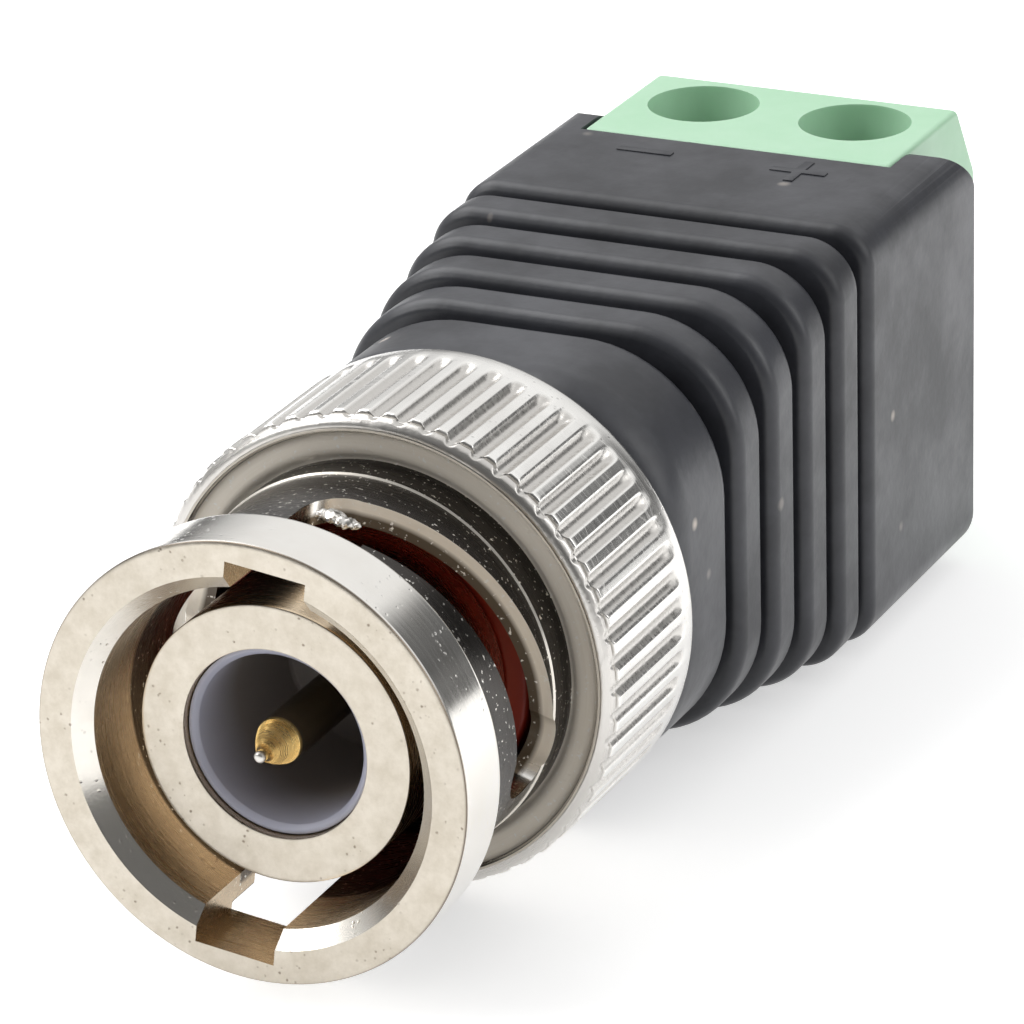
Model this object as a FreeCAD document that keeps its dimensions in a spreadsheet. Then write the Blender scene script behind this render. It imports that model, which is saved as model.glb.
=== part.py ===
"""Video balun: a bayonet coaxial plug joined to a two-way screw terminal block.

Frame: millimetres. The origin is the centre of the barrel's front face. Y runs along the
connector's axis, from the mating end towards the terminals, X is to the right when the plug
is looked into, and Z is up, the side that the clamping screws are worked from.
"""

import FreeCAD, Part

import math
import os

import Sketcher
from FreeCAD import Placement, Rotation, Vector

# Driving sizes, all in millimetres, degrees or counts

SIZES = {
    # Coupling nut
    "ring_diameter": 12.7,
    "ring_depth": 2.1,
    "socket_bore": 9.8,
    "mouth_chamfer": 0.45,
    "neck_diameter": 11.2,
    "collar_setback": 7.75,
    "dish_depth": 0.45,
    "rim_diameter": 13.3,
    "rim_chamfer": 0.75,
    "collar_diameter": 14.1,
    "nut_length": 13.2,
    "nut_recess_diameter": 11.0,
    "nut_web": 1.1,
    "knurl_count": 56,
    "knurl_width": 0.34,
    "knurl_depth": 0.22,
    "knurl_margin": 0.55,
    "lug_entry_width": 2.36,
    "lug_entry_depth": 4.35,
    "lug_reach": 5.66,
    "lug_slot_width": 2.3,
    "lug_travel": 1.65,
    "lug_turn": 97,
    "lug_seat": 2.5,
    "nut_turned": 7.3,
    # Plug body and what sits on it
    "barrel_setback": 1.45,
    "barrel_diameter": 8.0,
    "barrel_bore": 5.45,
    "flange_setback": 6.95,
    "flange_depth": 1.2,
    "sleeve_diameter": 7.6,
    "shank_end": 16.0,
    "shank_bore": 4.45,
    "grip_depth": 0.3,
    "grip_width": 0.6,
    "gasket_seat_depth": 0.2,
    "gasket_depth": 0.98,
    "gasket_diameter": 9.3,
    "spring_room": 0.85,
    "spring_sheet": 0.2,
    "spring_waves": 3,
    "washer_depth": 0.3,
    "washer_diameter": 9.5,
    "ring_groove_depth": 0.4,
    "ring_sheet": 0.56,
    "ring_outside": 9.2,
    "ring_gap": 28,
    "tag_sheet": 0.3,
    "tag_outside": 7.4,
    "tag_inside": 5.2,
    "tag_leg_width": 1.0,
    "tag_leg_across": 2.8,
    # Insulators and centre pin
    "liner_setback": 0.25,
    "liner_bore": 4.9,
    "liner_depth": 5.4,
    "pin_diameter": 1.35,
    "pin_reach": 0.95,
    "pin_cone": 1.3,
    "pin_nub": 0.34,
    "pin_root_diameter": 1.7,
    "pin_shoulder_diameter": 2.3,
    "pin_shoulder_depth": 1.0,
    "pin_tail_diameter": 1.0,
    "pin_tail_end": 17.5,
    "bead_depth": 4.3,
    "solder_cup_depth": 1.6,
    # Housing
    "box_width": 13.4,
    "box_corner": 1.3,
    "box_length": 8.69,
    "top_wall_length": 5.59,
    "land_width": 12.35,
    "land_corner": 4.3,
    "land_length": 4.2,
    "rib_count": 4,
    "rib_pitch": 2.21,
    "groove_width": 0.52,
    "groove_depth": 0.5,
    "rib_rounding": 0.42,
    "nose_rounding": 0.8,
    "tail_rounding": 2.1,
    "housing_wall": 1.3,
    "front_wall": 3.75,
    "front_chamber": 8.5,
    "chamber_start": 19.9,
    "chamber_width": 9.7,
    "chamber_rounding": 1.5,
    "ledge_width": 0.7,
    # Terminal block
    "pole_pitch": 5.08,
    "block_depth": 7.2,
    "block_top_depth": 5.75,
    "slope_drop": 2.4,
    "well_diameter": 3.5,
    "well_across": 3.5,
    "screw_depth": 1.3,
    "shelf_height": 2.0,
    "shelf_depth": 0.8,
    "clamp_room_width": 4.2,
    "clamp_room_depth": 3.8,
    "entry_width": 3.0,
    "entry_height": 2.7,
    "entry_funnel": 0.35,
    # Clamps, screws and contact bars
    "screw_diameter": 2.5,
    "screw_head": 3.1,
    "screw_slot": 0.5,
    "screw_slot_depth": 0.9,
    "clamp_rise": 1.8,
    "clamp_top": 0.8,
    "clamp_side": 0.6,
    "clamp_floor": 0.7,
    "wire_space": 2.2,
    "bar_sheet": 0.6,
    "bar_width": 2.4,
    "bar_overlap": 1.95,
    # Circuit board and transformer
    "board_sheet": 1.0,
    "board_length": 10.4,
    "core_radius": 2.0,
    "core_section": 0.95,
    "core_place": 25.6,
    "winding_layer": 0.23,
    "winding_angle": 150,
    "wire_diameter": 0.5,
    "wire_bend": 0.9,
    "chip_length": 1.6,
    "chip_width": 0.9,
    "chip_across": 2.9,
    # Clearances
    "running_gap": 0.05,
    "seat_gap": 0.02,
    "shell_gap": 0.35,
}

document = FreeCAD.newDocument("VideoBalun")
sheet = document.addObject("Spreadsheet::Sheet", "Sizes")
for row, (alias, number) in enumerate(SIZES.items(), start=1):
    sheet.set(f"A{row}", alias.replace("_", " "))
    sheet.set(f"B{row}", str(number))
    sheet.setAlias(f"B{row}", alias)
document.recompute()


class Size:
    """A number that keeps the spreadsheet formula it was worked out with."""

    def __init__(self, number, formula):
        self.number = number
        self.formula = formula

    def __add__(self, other):
        other = as_size(other)
        return Size(self.number + other.number, f"({self.formula} + {other.formula})")

    def __radd__(self, other):
        return as_size(other) + self

    def __sub__(self, other):
        other = as_size(other)
        return Size(self.number - other.number, f"({self.formula} - {other.formula})")

    def __rsub__(self, other):
        return as_size(other) - self

    def __mul__(self, other):
        other = as_size(other)
        return Size(self.number * other.number, f"({self.formula} * {other.formula})")

    def __rmul__(self, other):
        return as_size(other) * self

    def __truediv__(self, other):
        other = as_size(other)
        return Size(self.number / other.number, f"({self.formula} / {other.formula})")

    def __rtruediv__(self, other):
        return as_size(other) / self

    def __neg__(self):
        return 0 - self

    def __float__(self):
        return float(self.number)


def as_size(value):
    """Give a plain number the same form as a size from the sheet."""
    return value if isinstance(value, Size) else Size(value, repr(value))


class Cells:
    """The sheet's sizes by name, such as cell.barrel_bore."""

    def __getattr__(self, alias):
        return Size(SIZES[alias], f"Sizes.{alias}")


cell = Cells()

# Stations along the axis and heights that several pieces share

nut_front = -cell.barrel_setback
nut_rear = nut_front + cell.nut_length
collar_face = nut_front + cell.collar_setback
gasket_front = cell.flange_setback - cell.seat_gap - cell.gasket_depth
gasket_seat = cell.barrel_diameter / 2 - cell.gasket_seat_depth
flange_rear = cell.flange_setback + cell.flange_depth
washer_front = flange_rear + cell.spring_room
web_front = washer_front + cell.washer_depth + cell.seat_gap
web_rear = web_front + cell.nut_web
ring_front = web_rear + cell.running_gap
ring_groove_rear = ring_front + cell.ring_sheet + cell.running_gap

shell_front = nut_rear + cell.shell_gap
land_rear = shell_front + cell.land_length
box_front = land_rear + cell.rib_pitch * cell.rib_count + cell.groove_width
top_wall_rear = box_front + cell.top_wall_length
shell_rear = box_front + cell.box_length

block_front = top_wall_rear + cell.running_gap
block_rear = block_front + cell.block_depth
block_top = cell.box_width / 2
floor_height = cell.housing_wall - cell.box_width / 2
block_floor = floor_height + cell.running_gap
well_centre = block_front + cell.well_across
side_step = cell.pole_pitch / 2

clamp_crown = cell.shelf_height - cell.clamp_rise - cell.running_gap
bar_top = clamp_crown - cell.clamp_top - cell.running_gap
bar_floor = bar_top - cell.bar_sheet
clamp_floor = bar_floor - cell.wire_space
board_top = bar_floor
board_floor = board_top - cell.board_sheet
board_front = cell.chamber_start + 6 * cell.running_gap
liner_floor = cell.liner_setback + cell.liner_depth
shoulder_front = liner_floor + 2 * cell.pin_shoulder_depth
liner_rear = shoulder_front + cell.pin_shoulder_depth / 2


# Helpers for bodies, sketches and features


def new_body(name):
    body = document.addObject("PartDesign::Body", name)
    body.Label = name
    return body


def origin_item(body, role):
    """One of the body's own origin planes or axes."""
    return [item for item in body.Origin.OriginFeatures if item.Role == role][0]


def new_sketch(body, plane, offset=0, name="Sketch"):
    """A sketch on an origin plane, moved along that plane's normal by an offset."""
    sketch = body.newObject("Sketcher::SketchObject", name)
    sketch.AttachmentSupport = [(origin_item(body, plane), "")]
    sketch.MapMode = "FlatFace"
    offset = as_size(offset)
    sketch.AttachmentOffset = Placement(Vector(0, 0, float(offset)), Rotation())
    sketch.setExpression("AttachmentOffset.Base.z", offset.formula)
    return sketch


def sketch_at_station(body, station, name="Sketch"):
    """A sketch across the axis: its x is X, its y is Z and its normal points to -Y."""
    return new_sketch(body, "XZ_Plane", -as_size(station), name)


def tie(sketch, kind, geometry, end, value):
    """Tie one end of a geometry to the sketch's origin by a size."""
    value = as_size(value)
    index = sketch.addConstraint(Sketcher.Constraint(kind, -1, 1, geometry, end, float(value)))
    sketch.setExpression(f"Constraints[{index}]", value.formula)


def tie_radius(sketch, geometry, value):
    value = as_size(value)
    index = sketch.addConstraint(Sketcher.Constraint("Radius", geometry, float(value)))
    sketch.setExpression(f"Constraints[{index}]", value.formula)


def outline(sketch, corners):
    """A closed outline of straight lines, with each corner tied to the sheet."""
    places = [Vector(float(as_size(across)), float(as_size(up)), 0) for across, up in corners]
    lines = []
    for index, place in enumerate(places):
        following = places[(index + 1) % len(places)]
        lines.append(sketch.addGeometry(Part.LineSegment(place, following), False))
    for index, (across, up) in enumerate(corners):
        sketch.addConstraint(Sketcher.Constraint("Coincident", lines[index - 1], 2, lines[index], 1))
        tie(sketch, "DistanceX", lines[index], 1, across)
        tie(sketch, "DistanceY", lines[index], 1, up)


def rectangle(sketch, left, right, low, high):
    outline(sketch, [(left, low), (right, low), (right, high), (left, high)])


def circle(sketch, radius, across=0, up=0):
    """A circle whose centre and radius are tied to the sheet."""
    across, up, radius = as_size(across), as_size(up), as_size(radius)
    centre = Vector(float(across), float(up), 0)
    shape = Part.Circle(centre, Vector(0, 0, 1), float(radius))
    geometry = sketch.addGeometry(shape, False)
    tie(sketch, "DistanceX", geometry, 3, across)
    tie(sketch, "DistanceY", geometry, 3, up)
    tie_radius(sketch, geometry, radius)


def rounded_rectangle(sketch, left, right, low, high, radius):
    """A rectangle whose four corner arcs run tangent into its sides."""
    radius = as_size(radius)
    centres = [
        (as_size(right) - radius, as_size(high) - radius),
        (as_size(left) + radius, as_size(high) - radius),
        (as_size(left) + radius, as_size(low) + radius),
        (as_size(right) - radius, as_size(low) + radius),
    ]
    arcs = []
    for quarter, (across, up) in enumerate(centres):
        full = Part.Circle(Vector(float(across), float(up), 0), Vector(0, 0, 1), float(radius))
        start = quarter * math.pi / 2
        arcs.append(sketch.addGeometry(Part.ArcOfCircle(full, start, start + math.pi / 2), False))
    sides = []
    for quarter in range(4):
        begin = sketch.getPoint(arcs[quarter], 2)
        finish = sketch.getPoint(arcs[(quarter + 1) % 4], 1)
        sides.append(sketch.addGeometry(Part.LineSegment(begin, finish), False))
    for quarter, (across, up) in enumerate(centres):
        next_arc = arcs[(quarter + 1) % 4]
        sketch.addConstraint(Sketcher.Constraint("Tangent", arcs[quarter], 2, sides[quarter], 1))
        sketch.addConstraint(Sketcher.Constraint("Tangent", sides[quarter], 2, next_arc, 1))
        tie(sketch, "DistanceX", arcs[quarter], 3, across)
        tie(sketch, "DistanceY", arcs[quarter], 3, up)
        tie_radius(sketch, arcs[quarter], radius)


def bind(feature, **sizes):
    """Bind a feature's properties to the sheet."""
    for name, value in sizes.items():
        feature.setExpression(name, as_size(value).formula)
    return feature


def revolve_about_axis(body, corners, angle=360):
    """Turn a profile of (radius, station) corners about the connector's axis."""
    sketch = new_sketch(body, "XY_Plane", 0, "Profile")
    outline(sketch, corners)
    turned = body.newObject("PartDesign::Revolution", "Turned")
    turned.Profile = sketch
    turned.ReferenceAxis = (sketch, ["V_Axis"])
    bind(turned, Angle=angle)
    return turned


def pad(body, sketch, length, midplane=False, backwards=False):
    feature = body.newObject("PartDesign::Pad", "Pad")
    feature.Profile = sketch
    feature.Midplane = midplane
    feature.Reversed = backwards
    return bind(feature, Length=length)


def pocket(body, sketch, length, backwards=False, midplane=False):
    feature = body.newObject("PartDesign::Pocket", "Pocket")
    feature.Profile = sketch
    feature.Midplane = midplane
    feature.Reversed = backwards
    return bind(feature, Length=length)


def edges_where(feature, test):
    """Names of the feature's edges that pass a test on their vertices' points."""
    names = []
    for index, edge in enumerate(feature.Shape.Edges, start=1):
        points = [vertex.Point for vertex in edge.Vertexes]
        points.append(edge.valueAt((edge.FirstParameter + edge.LastParameter) / 2))
        if all(test(point) for point in points):
            names.append(f"Edge{index}")
    return names


def fillet(body, feature, test, radius):
    """Round the edges of a feature that pass a test."""
    document.recompute()
    rounding = body.newObject("PartDesign::Fillet", "Rounding")
    rounding.Base = (feature, edges_where(feature, test))
    return bind(rounding, Radius=radius)


def near(value, size):
    return abs(value - float(size)) < 0.01


def round_the_axis(body, features, count):
    """Repeat features evenly about the connector's axis."""
    pattern = body.newObject("PartDesign::PolarPattern", "RoundTheAxis")
    pattern.Originals = features
    pattern.Axis = (origin_item(body, "Y_Axis"), [""])
    pattern.Angle = 360
    bind(pattern, Occurrences=count)
    body.Tip = pattern
    return pattern


def place(item, across=0, along=0, up=0):
    """Move a finished sub-part, with its place bound to the sheet."""
    for axis, value in zip("xyz", (across, along, up)):
        value = as_size(value)
        setattr(item.Placement.Base, axis, float(value))
        item.setExpression(f"Placement.Base.{axis}", value.formula)


# Coupling nut


def make_coupling_nut():
    """Turned nut: ring, slotted neck, dished and knurled collar, and inner web."""
    body = new_body("coupling_nut")
    dish_middle = (cell.neck_diameter + cell.rim_diameter) / 4
    rear_edge = cell.mouth_chamfer / 3
    web_bore = cell.sleeve_diameter / 2 + cell.running_gap
    revolve_about_axis(body, [
        (cell.socket_bore / 2 + cell.mouth_chamfer, nut_front),
        (cell.ring_diameter / 2, nut_front),
        (cell.ring_diameter / 2, nut_front + cell.ring_depth),
        (cell.neck_diameter / 2, nut_front + cell.ring_depth),
        (cell.neck_diameter / 2, collar_face),
        (dish_middle - cell.dish_depth / 2, collar_face + cell.dish_depth),
        (dish_middle + cell.dish_depth / 2, collar_face + cell.dish_depth),
        (cell.rim_diameter / 2, collar_face),
        (cell.collar_diameter / 2, collar_face + cell.rim_chamfer),
        (cell.collar_diameter / 2, nut_rear - rear_edge),
        (cell.collar_diameter / 2 - rear_edge, nut_rear),
        (cell.nut_recess_diameter / 2, nut_rear),
        (cell.nut_recess_diameter / 2, web_rear),
        (web_bore, web_rear),
        (web_bore, web_front),
        (cell.socket_bore / 2, web_front),
        (cell.socket_bore / 2, nut_front + cell.mouth_chamfer),
    ])
    cut_lug_entries(body)
    cut_lug_ramps(body)
    cut_knurl(body)
    body.Placement = Placement(Vector(), Rotation(Vector(0, 1, 0), float(cell.nut_turned)))
    body.setExpression("Placement.Rotation.Angle", cell.nut_turned.formula)
    return body


def cut_lug_entries(body):
    """Two straight notches, one across from the other, that let the lugs in."""
    half = cell.lug_entry_width / 2
    start = nut_front + cell.lug_entry_depth
    ahead = nut_front - cell.mouth_chamfer
    sketch = new_sketch(body, "XY_Plane", 0, "LugEntry")
    full = Part.Circle(Vector(0, float(start), 0), Vector(0, 0, 1), float(half))
    arc = sketch.addGeometry(Part.ArcOfCircle(full, 0, math.pi), False)
    corners = [(-half, start), (-half, ahead), (half, ahead), (half, start)]
    places = [Vector(float(across), float(along), 0) for across, along in corners]
    lines = []
    for begin, finish in zip(places, places[1:]):
        lines.append(sketch.addGeometry(Part.LineSegment(begin, finish), False))
    sketch.addConstraint(Sketcher.Constraint("Coincident", arc, 2, lines[0], 1))
    sketch.addConstraint(Sketcher.Constraint("Coincident", lines[0], 2, lines[1], 1))
    sketch.addConstraint(Sketcher.Constraint("Coincident", lines[1], 2, lines[2], 1))
    sketch.addConstraint(Sketcher.Constraint("Coincident", lines[2], 2, arc, 1))
    for line, (across, along) in zip(lines, corners):
        tie(sketch, "DistanceX", line, 1, across)
        tie(sketch, "DistanceY", line, 1, along)
    tie(sketch, "DistanceX", lines[-1], 2, half)
    tie(sketch, "DistanceY", lines[-1], 2, start)
    tie(sketch, "DistanceY", arc, 3, start)
    entry = pocket(body, sketch, cell.lug_reach, backwards=True)
    round_the_axis(body, [entry], 2)


def cut_lug_ramps(body):
    """Two helical slots that draw the lugs in, each ending in a round seat."""
    start = nut_front + cell.lug_entry_depth
    half = cell.lug_slot_width / 2
    inner = (cell.socket_bore + cell.barrel_diameter) / 4
    outer = (cell.neck_diameter + cell.ring_diameter) / 4
    sketch = new_sketch(body, "YZ_Plane", 0, "RampSection")
    rectangle(sketch, start - half, start + half, inner, outer)
    ramp = body.newObject("PartDesign::SubtractiveHelix", "Ramp")
    ramp.Profile = sketch
    ramp.ReferenceAxis = (sketch, ["H_Axis"])
    ramp.Mode = "pitch-height-angle"
    ramp.Outside = False
    ramp.Refine = False
    bind(ramp, Pitch=cell.lug_travel * 360 / cell.lug_turn, Height=cell.lug_travel)

    seat_sketch = new_sketch(body, "YZ_Plane", 0, "SeatSection")
    past_quarter = cell.lug_turn - 90
    turn = Rotation(Vector(1, 0, 0), float(past_quarter))
    seat_sketch.AttachmentOffset = Placement(Vector(), turn)
    seat_sketch.setExpression("AttachmentOffset.Rotation.Angle", past_quarter.formula)
    circle(seat_sketch, cell.lug_seat / 2, start + cell.lug_travel, 0)
    seat = pocket(body, seat_sketch, cell.ring_diameter / 2, backwards=True)
    seat.Refine = False
    round_the_axis(body, [ramp, seat], 2)


def cut_knurl(body):
    """Straight grooves round the collar, open at its front rim and closed at the rear."""
    sketch = new_sketch(body, "XY_Plane", cell.collar_diameter / 2, "KnurlGroove")
    half = cell.knurl_width / 2
    low = collar_face + cell.rim_chamfer / 3
    high = nut_rear - cell.knurl_margin
    outline(sketch, [(-half, low), (half, low), (half, high - half), (0, high), (-half, high - half)])
    groove = pocket(body, sketch, cell.knurl_depth)
    round_the_axis(body, [groove], cell.knurl_count)


# Plug body and what sits on it


def make_plug_body():
    """Barrel, gasket flange, nut sleeve with its ring groove, and gripped rear shank."""
    body = new_body("plug_body")
    barrel = cell.barrel_diameter / 2
    sleeve = cell.sleeve_diameter / 2
    groove = sleeve - cell.ring_groove_depth
    corners = [
        (cell.barrel_bore / 2, 0),
        (barrel, 0),
        (barrel, gasket_front - cell.running_gap),
        (gasket_seat, gasket_front - cell.running_gap),
        (gasket_seat, cell.flange_setback),
        (cell.socket_bore / 2 - cell.running_gap, cell.flange_setback),
        (cell.socket_bore / 2 - cell.running_gap, flange_rear),
        (sleeve, flange_rear),
        (sleeve, ring_front - cell.running_gap),
        (groove, ring_front - cell.running_gap),
        (groove, ring_groove_rear),
        (sleeve, ring_groove_rear),
    ]
    for step in (1, 2):
        station = shell_front + step * 2 * cell.grip_width
        corners += [
            (sleeve, station),
            (sleeve - cell.grip_depth, station),
            (sleeve - cell.grip_depth, station + cell.grip_width),
            (sleeve, station + cell.grip_width),
        ]
    corners += [
        (sleeve, cell.shank_end),
        (cell.shank_bore / 2, cell.shank_end),
        (cell.shank_bore / 2, liner_rear),
        (cell.barrel_bore / 2, liner_rear),
    ]
    revolve_about_axis(body, corners)
    return body


def make_ring(name, inside, outside, front, rear, angle=360):
    """A plain ring of rectangular section about the axis."""
    body = new_body(name)
    section = [(inside, front), (outside, front), (outside, rear), (inside, rear)]
    revolve_about_axis(body, section, angle)
    return body


def make_gasket():
    """Silicone ring that the mating part presses against the flange."""
    rear = cell.flange_setback - cell.seat_gap
    inside = gasket_seat + cell.seat_gap
    return make_ring("gasket", inside, cell.gasket_diameter / 2, gasket_front, rear)


def make_thrust_washer():
    inside = cell.sleeve_diameter / 2 + cell.running_gap
    rear = washer_front + cell.washer_depth
    return make_ring("thrust_washer", inside, cell.washer_diameter / 2, washer_front, rear)


def make_retaining_ring():
    """Split ring in the sleeve's groove, which the nut's web can't pass."""
    inside = cell.sleeve_diameter / 2 - cell.ring_groove_depth + cell.seat_gap
    rear = ring_front + cell.ring_sheet
    angle = 360 - cell.ring_gap
    return make_ring("retaining_ring", inside, cell.ring_outside / 2, ring_front, rear, angle)


def make_wave_washer():
    """Spring sheet ring, bent into even waves that fill the room before the washer."""
    inside = float(cell.sleeve_diameter / 2 + 3 * cell.running_gap)
    outside = float(cell.washer_diameter / 2 - cell.running_gap)
    sheet_depth = float(cell.spring_sheet)
    rise = (float(cell.spring_room) - sheet_depth - 2 * float(cell.seat_gap)) / 2
    middle = float(flange_rear + cell.seat_gap) + rise
    steps = 8 * int(cell.spring_waves.number)
    rims = []
    for radius in (inside, outside):
        points = []
        for step in range(steps):
            turn = 2 * math.pi * step / steps
            along = middle + rise * math.cos(float(cell.spring_waves) * turn)
            points.append(Vector(radius * math.cos(turn), along, radius * math.sin(turn)))
        curve = Part.BSplineCurve()
        curve.interpolate(Points=points, PeriodicFlag=True)
        rims.append(curve.toShape())
    sheet_face = Part.makeRuledSurface(rims[0], rims[1])
    washer = document.addObject("Part::Feature", "wave_washer")
    washer.Label = "wave_washer"
    washer.Shape = sheet_face.extrude(Vector(0, sheet_depth, 0))
    return washer


def make_ground_tag():
    """Solder ring against the shank's end, with a leg that lies on the circuit board."""
    body = new_body("ground_tag")
    start = cell.shank_end + cell.seat_gap
    ring = sketch_at_station(body, start, "Ring")
    circle(ring, cell.tag_outside / 2)
    circle(ring, cell.tag_inside / 2)
    pad(body, ring, cell.tag_sheet, backwards=True)
    leg = sketch_at_station(body, start, "Leg")
    half = cell.tag_leg_width / 2
    foot = board_top + cell.seat_gap
    middle = -cell.tag_leg_across
    rectangle(leg, middle - half, middle + half, foot, foot + cell.tag_sheet)
    pad(body, leg, board_front - start + 2 * cell.tag_leg_width, backwards=True)
    return body


# Insulators, centre pin and signal wire


def make_front_insulator():
    """Cup that lines the barrel and holds the pin in its floor."""
    body = new_body("front_insulator")
    outside = cell.barrel_bore / 2 - cell.seat_gap
    bore = cell.liner_bore / 2
    rim_chamfer = (outside - bore) / 2
    hole = cell.pin_root_diameter / 2 + cell.seat_gap
    shoulder = cell.pin_shoulder_diameter / 2 + cell.seat_gap
    revolve_about_axis(body, [
        (bore + rim_chamfer, cell.liner_setback),
        (outside, cell.liner_setback),
        (outside, liner_rear - cell.seat_gap),
        (shoulder, liner_rear - cell.seat_gap),
        (shoulder, shoulder_front - cell.seat_gap),
        (hole, shoulder_front - cell.seat_gap),
        (hole, liner_floor),
        (bore, liner_floor),
        (bore, cell.liner_setback + rim_chamfer),
    ])
    return body


def make_rear_insulator():
    """Bead in the shank's bore that shuts the pin's shoulder in from behind."""
    body = new_body("rear_insulator")
    outside = cell.shank_bore / 2 - cell.seat_gap
    hole = cell.pin_tail_diameter / 2 + cell.seat_gap
    shoulder = cell.pin_shoulder_diameter / 2 + cell.seat_gap
    shoulder_rear = shoulder_front + cell.pin_shoulder_depth + cell.seat_gap
    front = liner_rear + cell.seat_gap
    rear = front + cell.bead_depth
    revolve_about_axis(body, [
        (shoulder, front),
        (outside, front),
        (outside, rear),
        (hole, rear),
        (hole, shoulder_rear),
        (shoulder, shoulder_rear),
    ])
    return body


def make_centre_pin():
    """Coned contact pin with a small nub, a shoulder, and a hollow end for solder."""
    body = new_body("centre_pin")
    tip = -cell.pin_reach
    nub = cell.pin_nub / 2
    shaft = cell.pin_diameter / 2
    root = cell.pin_root_diameter / 2
    shoulder = cell.pin_shoulder_diameter / 2
    tail = cell.pin_tail_diameter / 2
    shoulder_rear = shoulder_front + cell.pin_shoulder_depth
    cup = cell.wire_diameter / 2 + cell.running_gap
    revolve_about_axis(body, [
        (0, tip),
        (nub * 2 / 3, tip),
        (nub, tip + nub * 2 / 3),
        (nub, tip + 2 * nub),
        (shaft * 3 / 4, tip + cell.pin_cone * 3 / 4),
        (shaft, tip + cell.pin_cone),
        (shaft, liner_floor - cell.running_gap),
        (root, liner_floor - cell.running_gap),
        (root, shoulder_front),
        (shoulder, shoulder_front),
        (shoulder, shoulder_rear),
        (tail, shoulder_rear),
        (tail, cell.pin_tail_end),
        (cup, cell.pin_tail_end),
        (cup, cell.pin_tail_end - cell.solder_cup_depth),
        (0, cell.pin_tail_end - cell.solder_cup_depth),
    ])
    return body


def make_signal_wire():
    """Wire from the pin's hollow end, bent down to stand on the circuit board."""
    body = new_body("signal_wire")
    start = cell.pin_tail_end - cell.solder_cup_depth + cell.running_gap
    bend_start = board_front + cell.wire_bend / 2
    down = bend_start + cell.wire_bend
    foot = board_top + cell.seat_gap
    route = new_sketch(body, "YZ_Plane", 0, "Route")
    first = Part.LineSegment(Vector(float(start), 0, 0), Vector(float(bend_start), 0, 0))
    centre = Vector(float(bend_start), -float(cell.wire_bend), 0)
    bend_circle = Part.Circle(centre, Vector(0, 0, 1), float(cell.wire_bend))
    bend = Part.ArcOfCircle(bend_circle, 0, math.pi / 2)
    corner = Vector(float(down), -float(cell.wire_bend), 0)
    last = Part.LineSegment(corner, Vector(float(down), float(foot), 0))
    first, bend, last = [route.addGeometry(item, False) for item in (first, bend, last)]
    route.addConstraint(Sketcher.Constraint("Coincident", first, 2, bend, 2))
    route.addConstraint(Sketcher.Constraint("Coincident", bend, 1, last, 1))
    tie(route, "DistanceX", first, 1, start)
    tie(route, "DistanceY", first, 1, 0)
    tie(route, "DistanceX", first, 2, bend_start)
    tie(route, "DistanceY", first, 2, 0)
    tie(route, "DistanceX", bend, 3, bend_start)
    tie(route, "DistanceX", last, 1, down)
    tie(route, "DistanceY", last, 1, -cell.wire_bend)
    tie(route, "DistanceX", last, 2, down)
    tie(route, "DistanceY", last, 2, foot)
    section = sketch_at_station(body, start, "Section")
    circle(section, cell.wire_diameter / 2)
    pipe = body.newObject("PartDesign::AdditivePipe", "Wire")
    pipe.Profile = section
    pipe.Spine = (route, ["Edge1", "Edge2", "Edge3"])
    return body


# Housing


def shell_section(share):
    """Half width and corner radius of the ribbed stretch, from its front (0) to its rear (1)."""
    half = cell.land_width / 2 + (cell.box_width - cell.land_width) / 2 * share
    corner = cell.land_corner + (cell.box_corner - cell.land_corner) * share
    return half, corner


def section_sketch(body, station, half, corner, name):
    sketch = sketch_at_station(body, station, name)
    rounded_rectangle(sketch, -half, half, -half, half, corner)
    return sketch


def loft(body, first, last):
    feature = body.newObject("PartDesign::AdditiveLoft", "Loft")
    feature.Profile = first
    feature.Sections = [last]
    feature.Ruled = True
    return feature


def make_housing():
    """One black moulding: round nose, ribbed stretch that turns square, and open rear box."""
    body = new_body("housing")
    half, corner = shell_section(0)
    land_sketch = section_sketch(body, shell_front, half, corner, "Land")
    land = pad(body, land_sketch, cell.land_length, backwards=True)
    nose = fillet(body, land, lambda p: on_section(p, half, corner, shell_front), cell.nose_rounding)
    fillet(body, nose, lambda p: on_section(p, half, corner, land_rear), cell.rib_rounding)

    inset = cell.groove_depth
    core_front = section_sketch(body, land_rear - inset, half - inset, corner - inset, "CoreFront")
    half, corner = shell_section(1)
    core_rear = section_sketch(body, box_front + inset, half - inset, corner - inset / 2, "CoreRear")
    loft(body, core_front, core_rear)

    # A rib takes the taper's section at its own rear end, so it stands a groove's depth above the core
    rib_width = cell.rib_pitch - cell.groove_width
    taper_length = cell.rib_count * cell.rib_pitch + cell.groove_width + 2 * inset
    for index in range(SIZES["rib_count"]):
        start = land_rear + cell.groove_width + index * cell.rib_pitch
        share = ((index + 1) * cell.rib_pitch + inset) / taper_length
        rib_sketch = section_sketch(body, start, *shell_section(share), f"Rib{index + 1}")
        rib = pad(body, rib_sketch, rib_width, backwards=True)
        rim = (*shell_section(share), start, start + rib_width)
        fillet(body, rib, lambda p: on_section(p, *rim), cell.rib_rounding)

    half, corner = shell_section(1)
    box_sketch = section_sketch(body, box_front, half, corner, "Box")
    box = pad(body, box_sketch, cell.box_length, backwards=True)
    fillet(body, box, lambda p: on_section(p, half, corner, box_front), cell.rib_rounding)

    hollow_housing(body)
    return body


def on_section(point, half, corner, *stations):
    """Whether a point lies on a rounded square's outline at one of the stations."""
    centre = float(half) - float(corner)
    reach = math.hypot(max(abs(point.x) - centre, 0), max(abs(point.z) - centre, 0))
    return near(reach, corner) and any(near(point.y, station) for station in stations)


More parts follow.
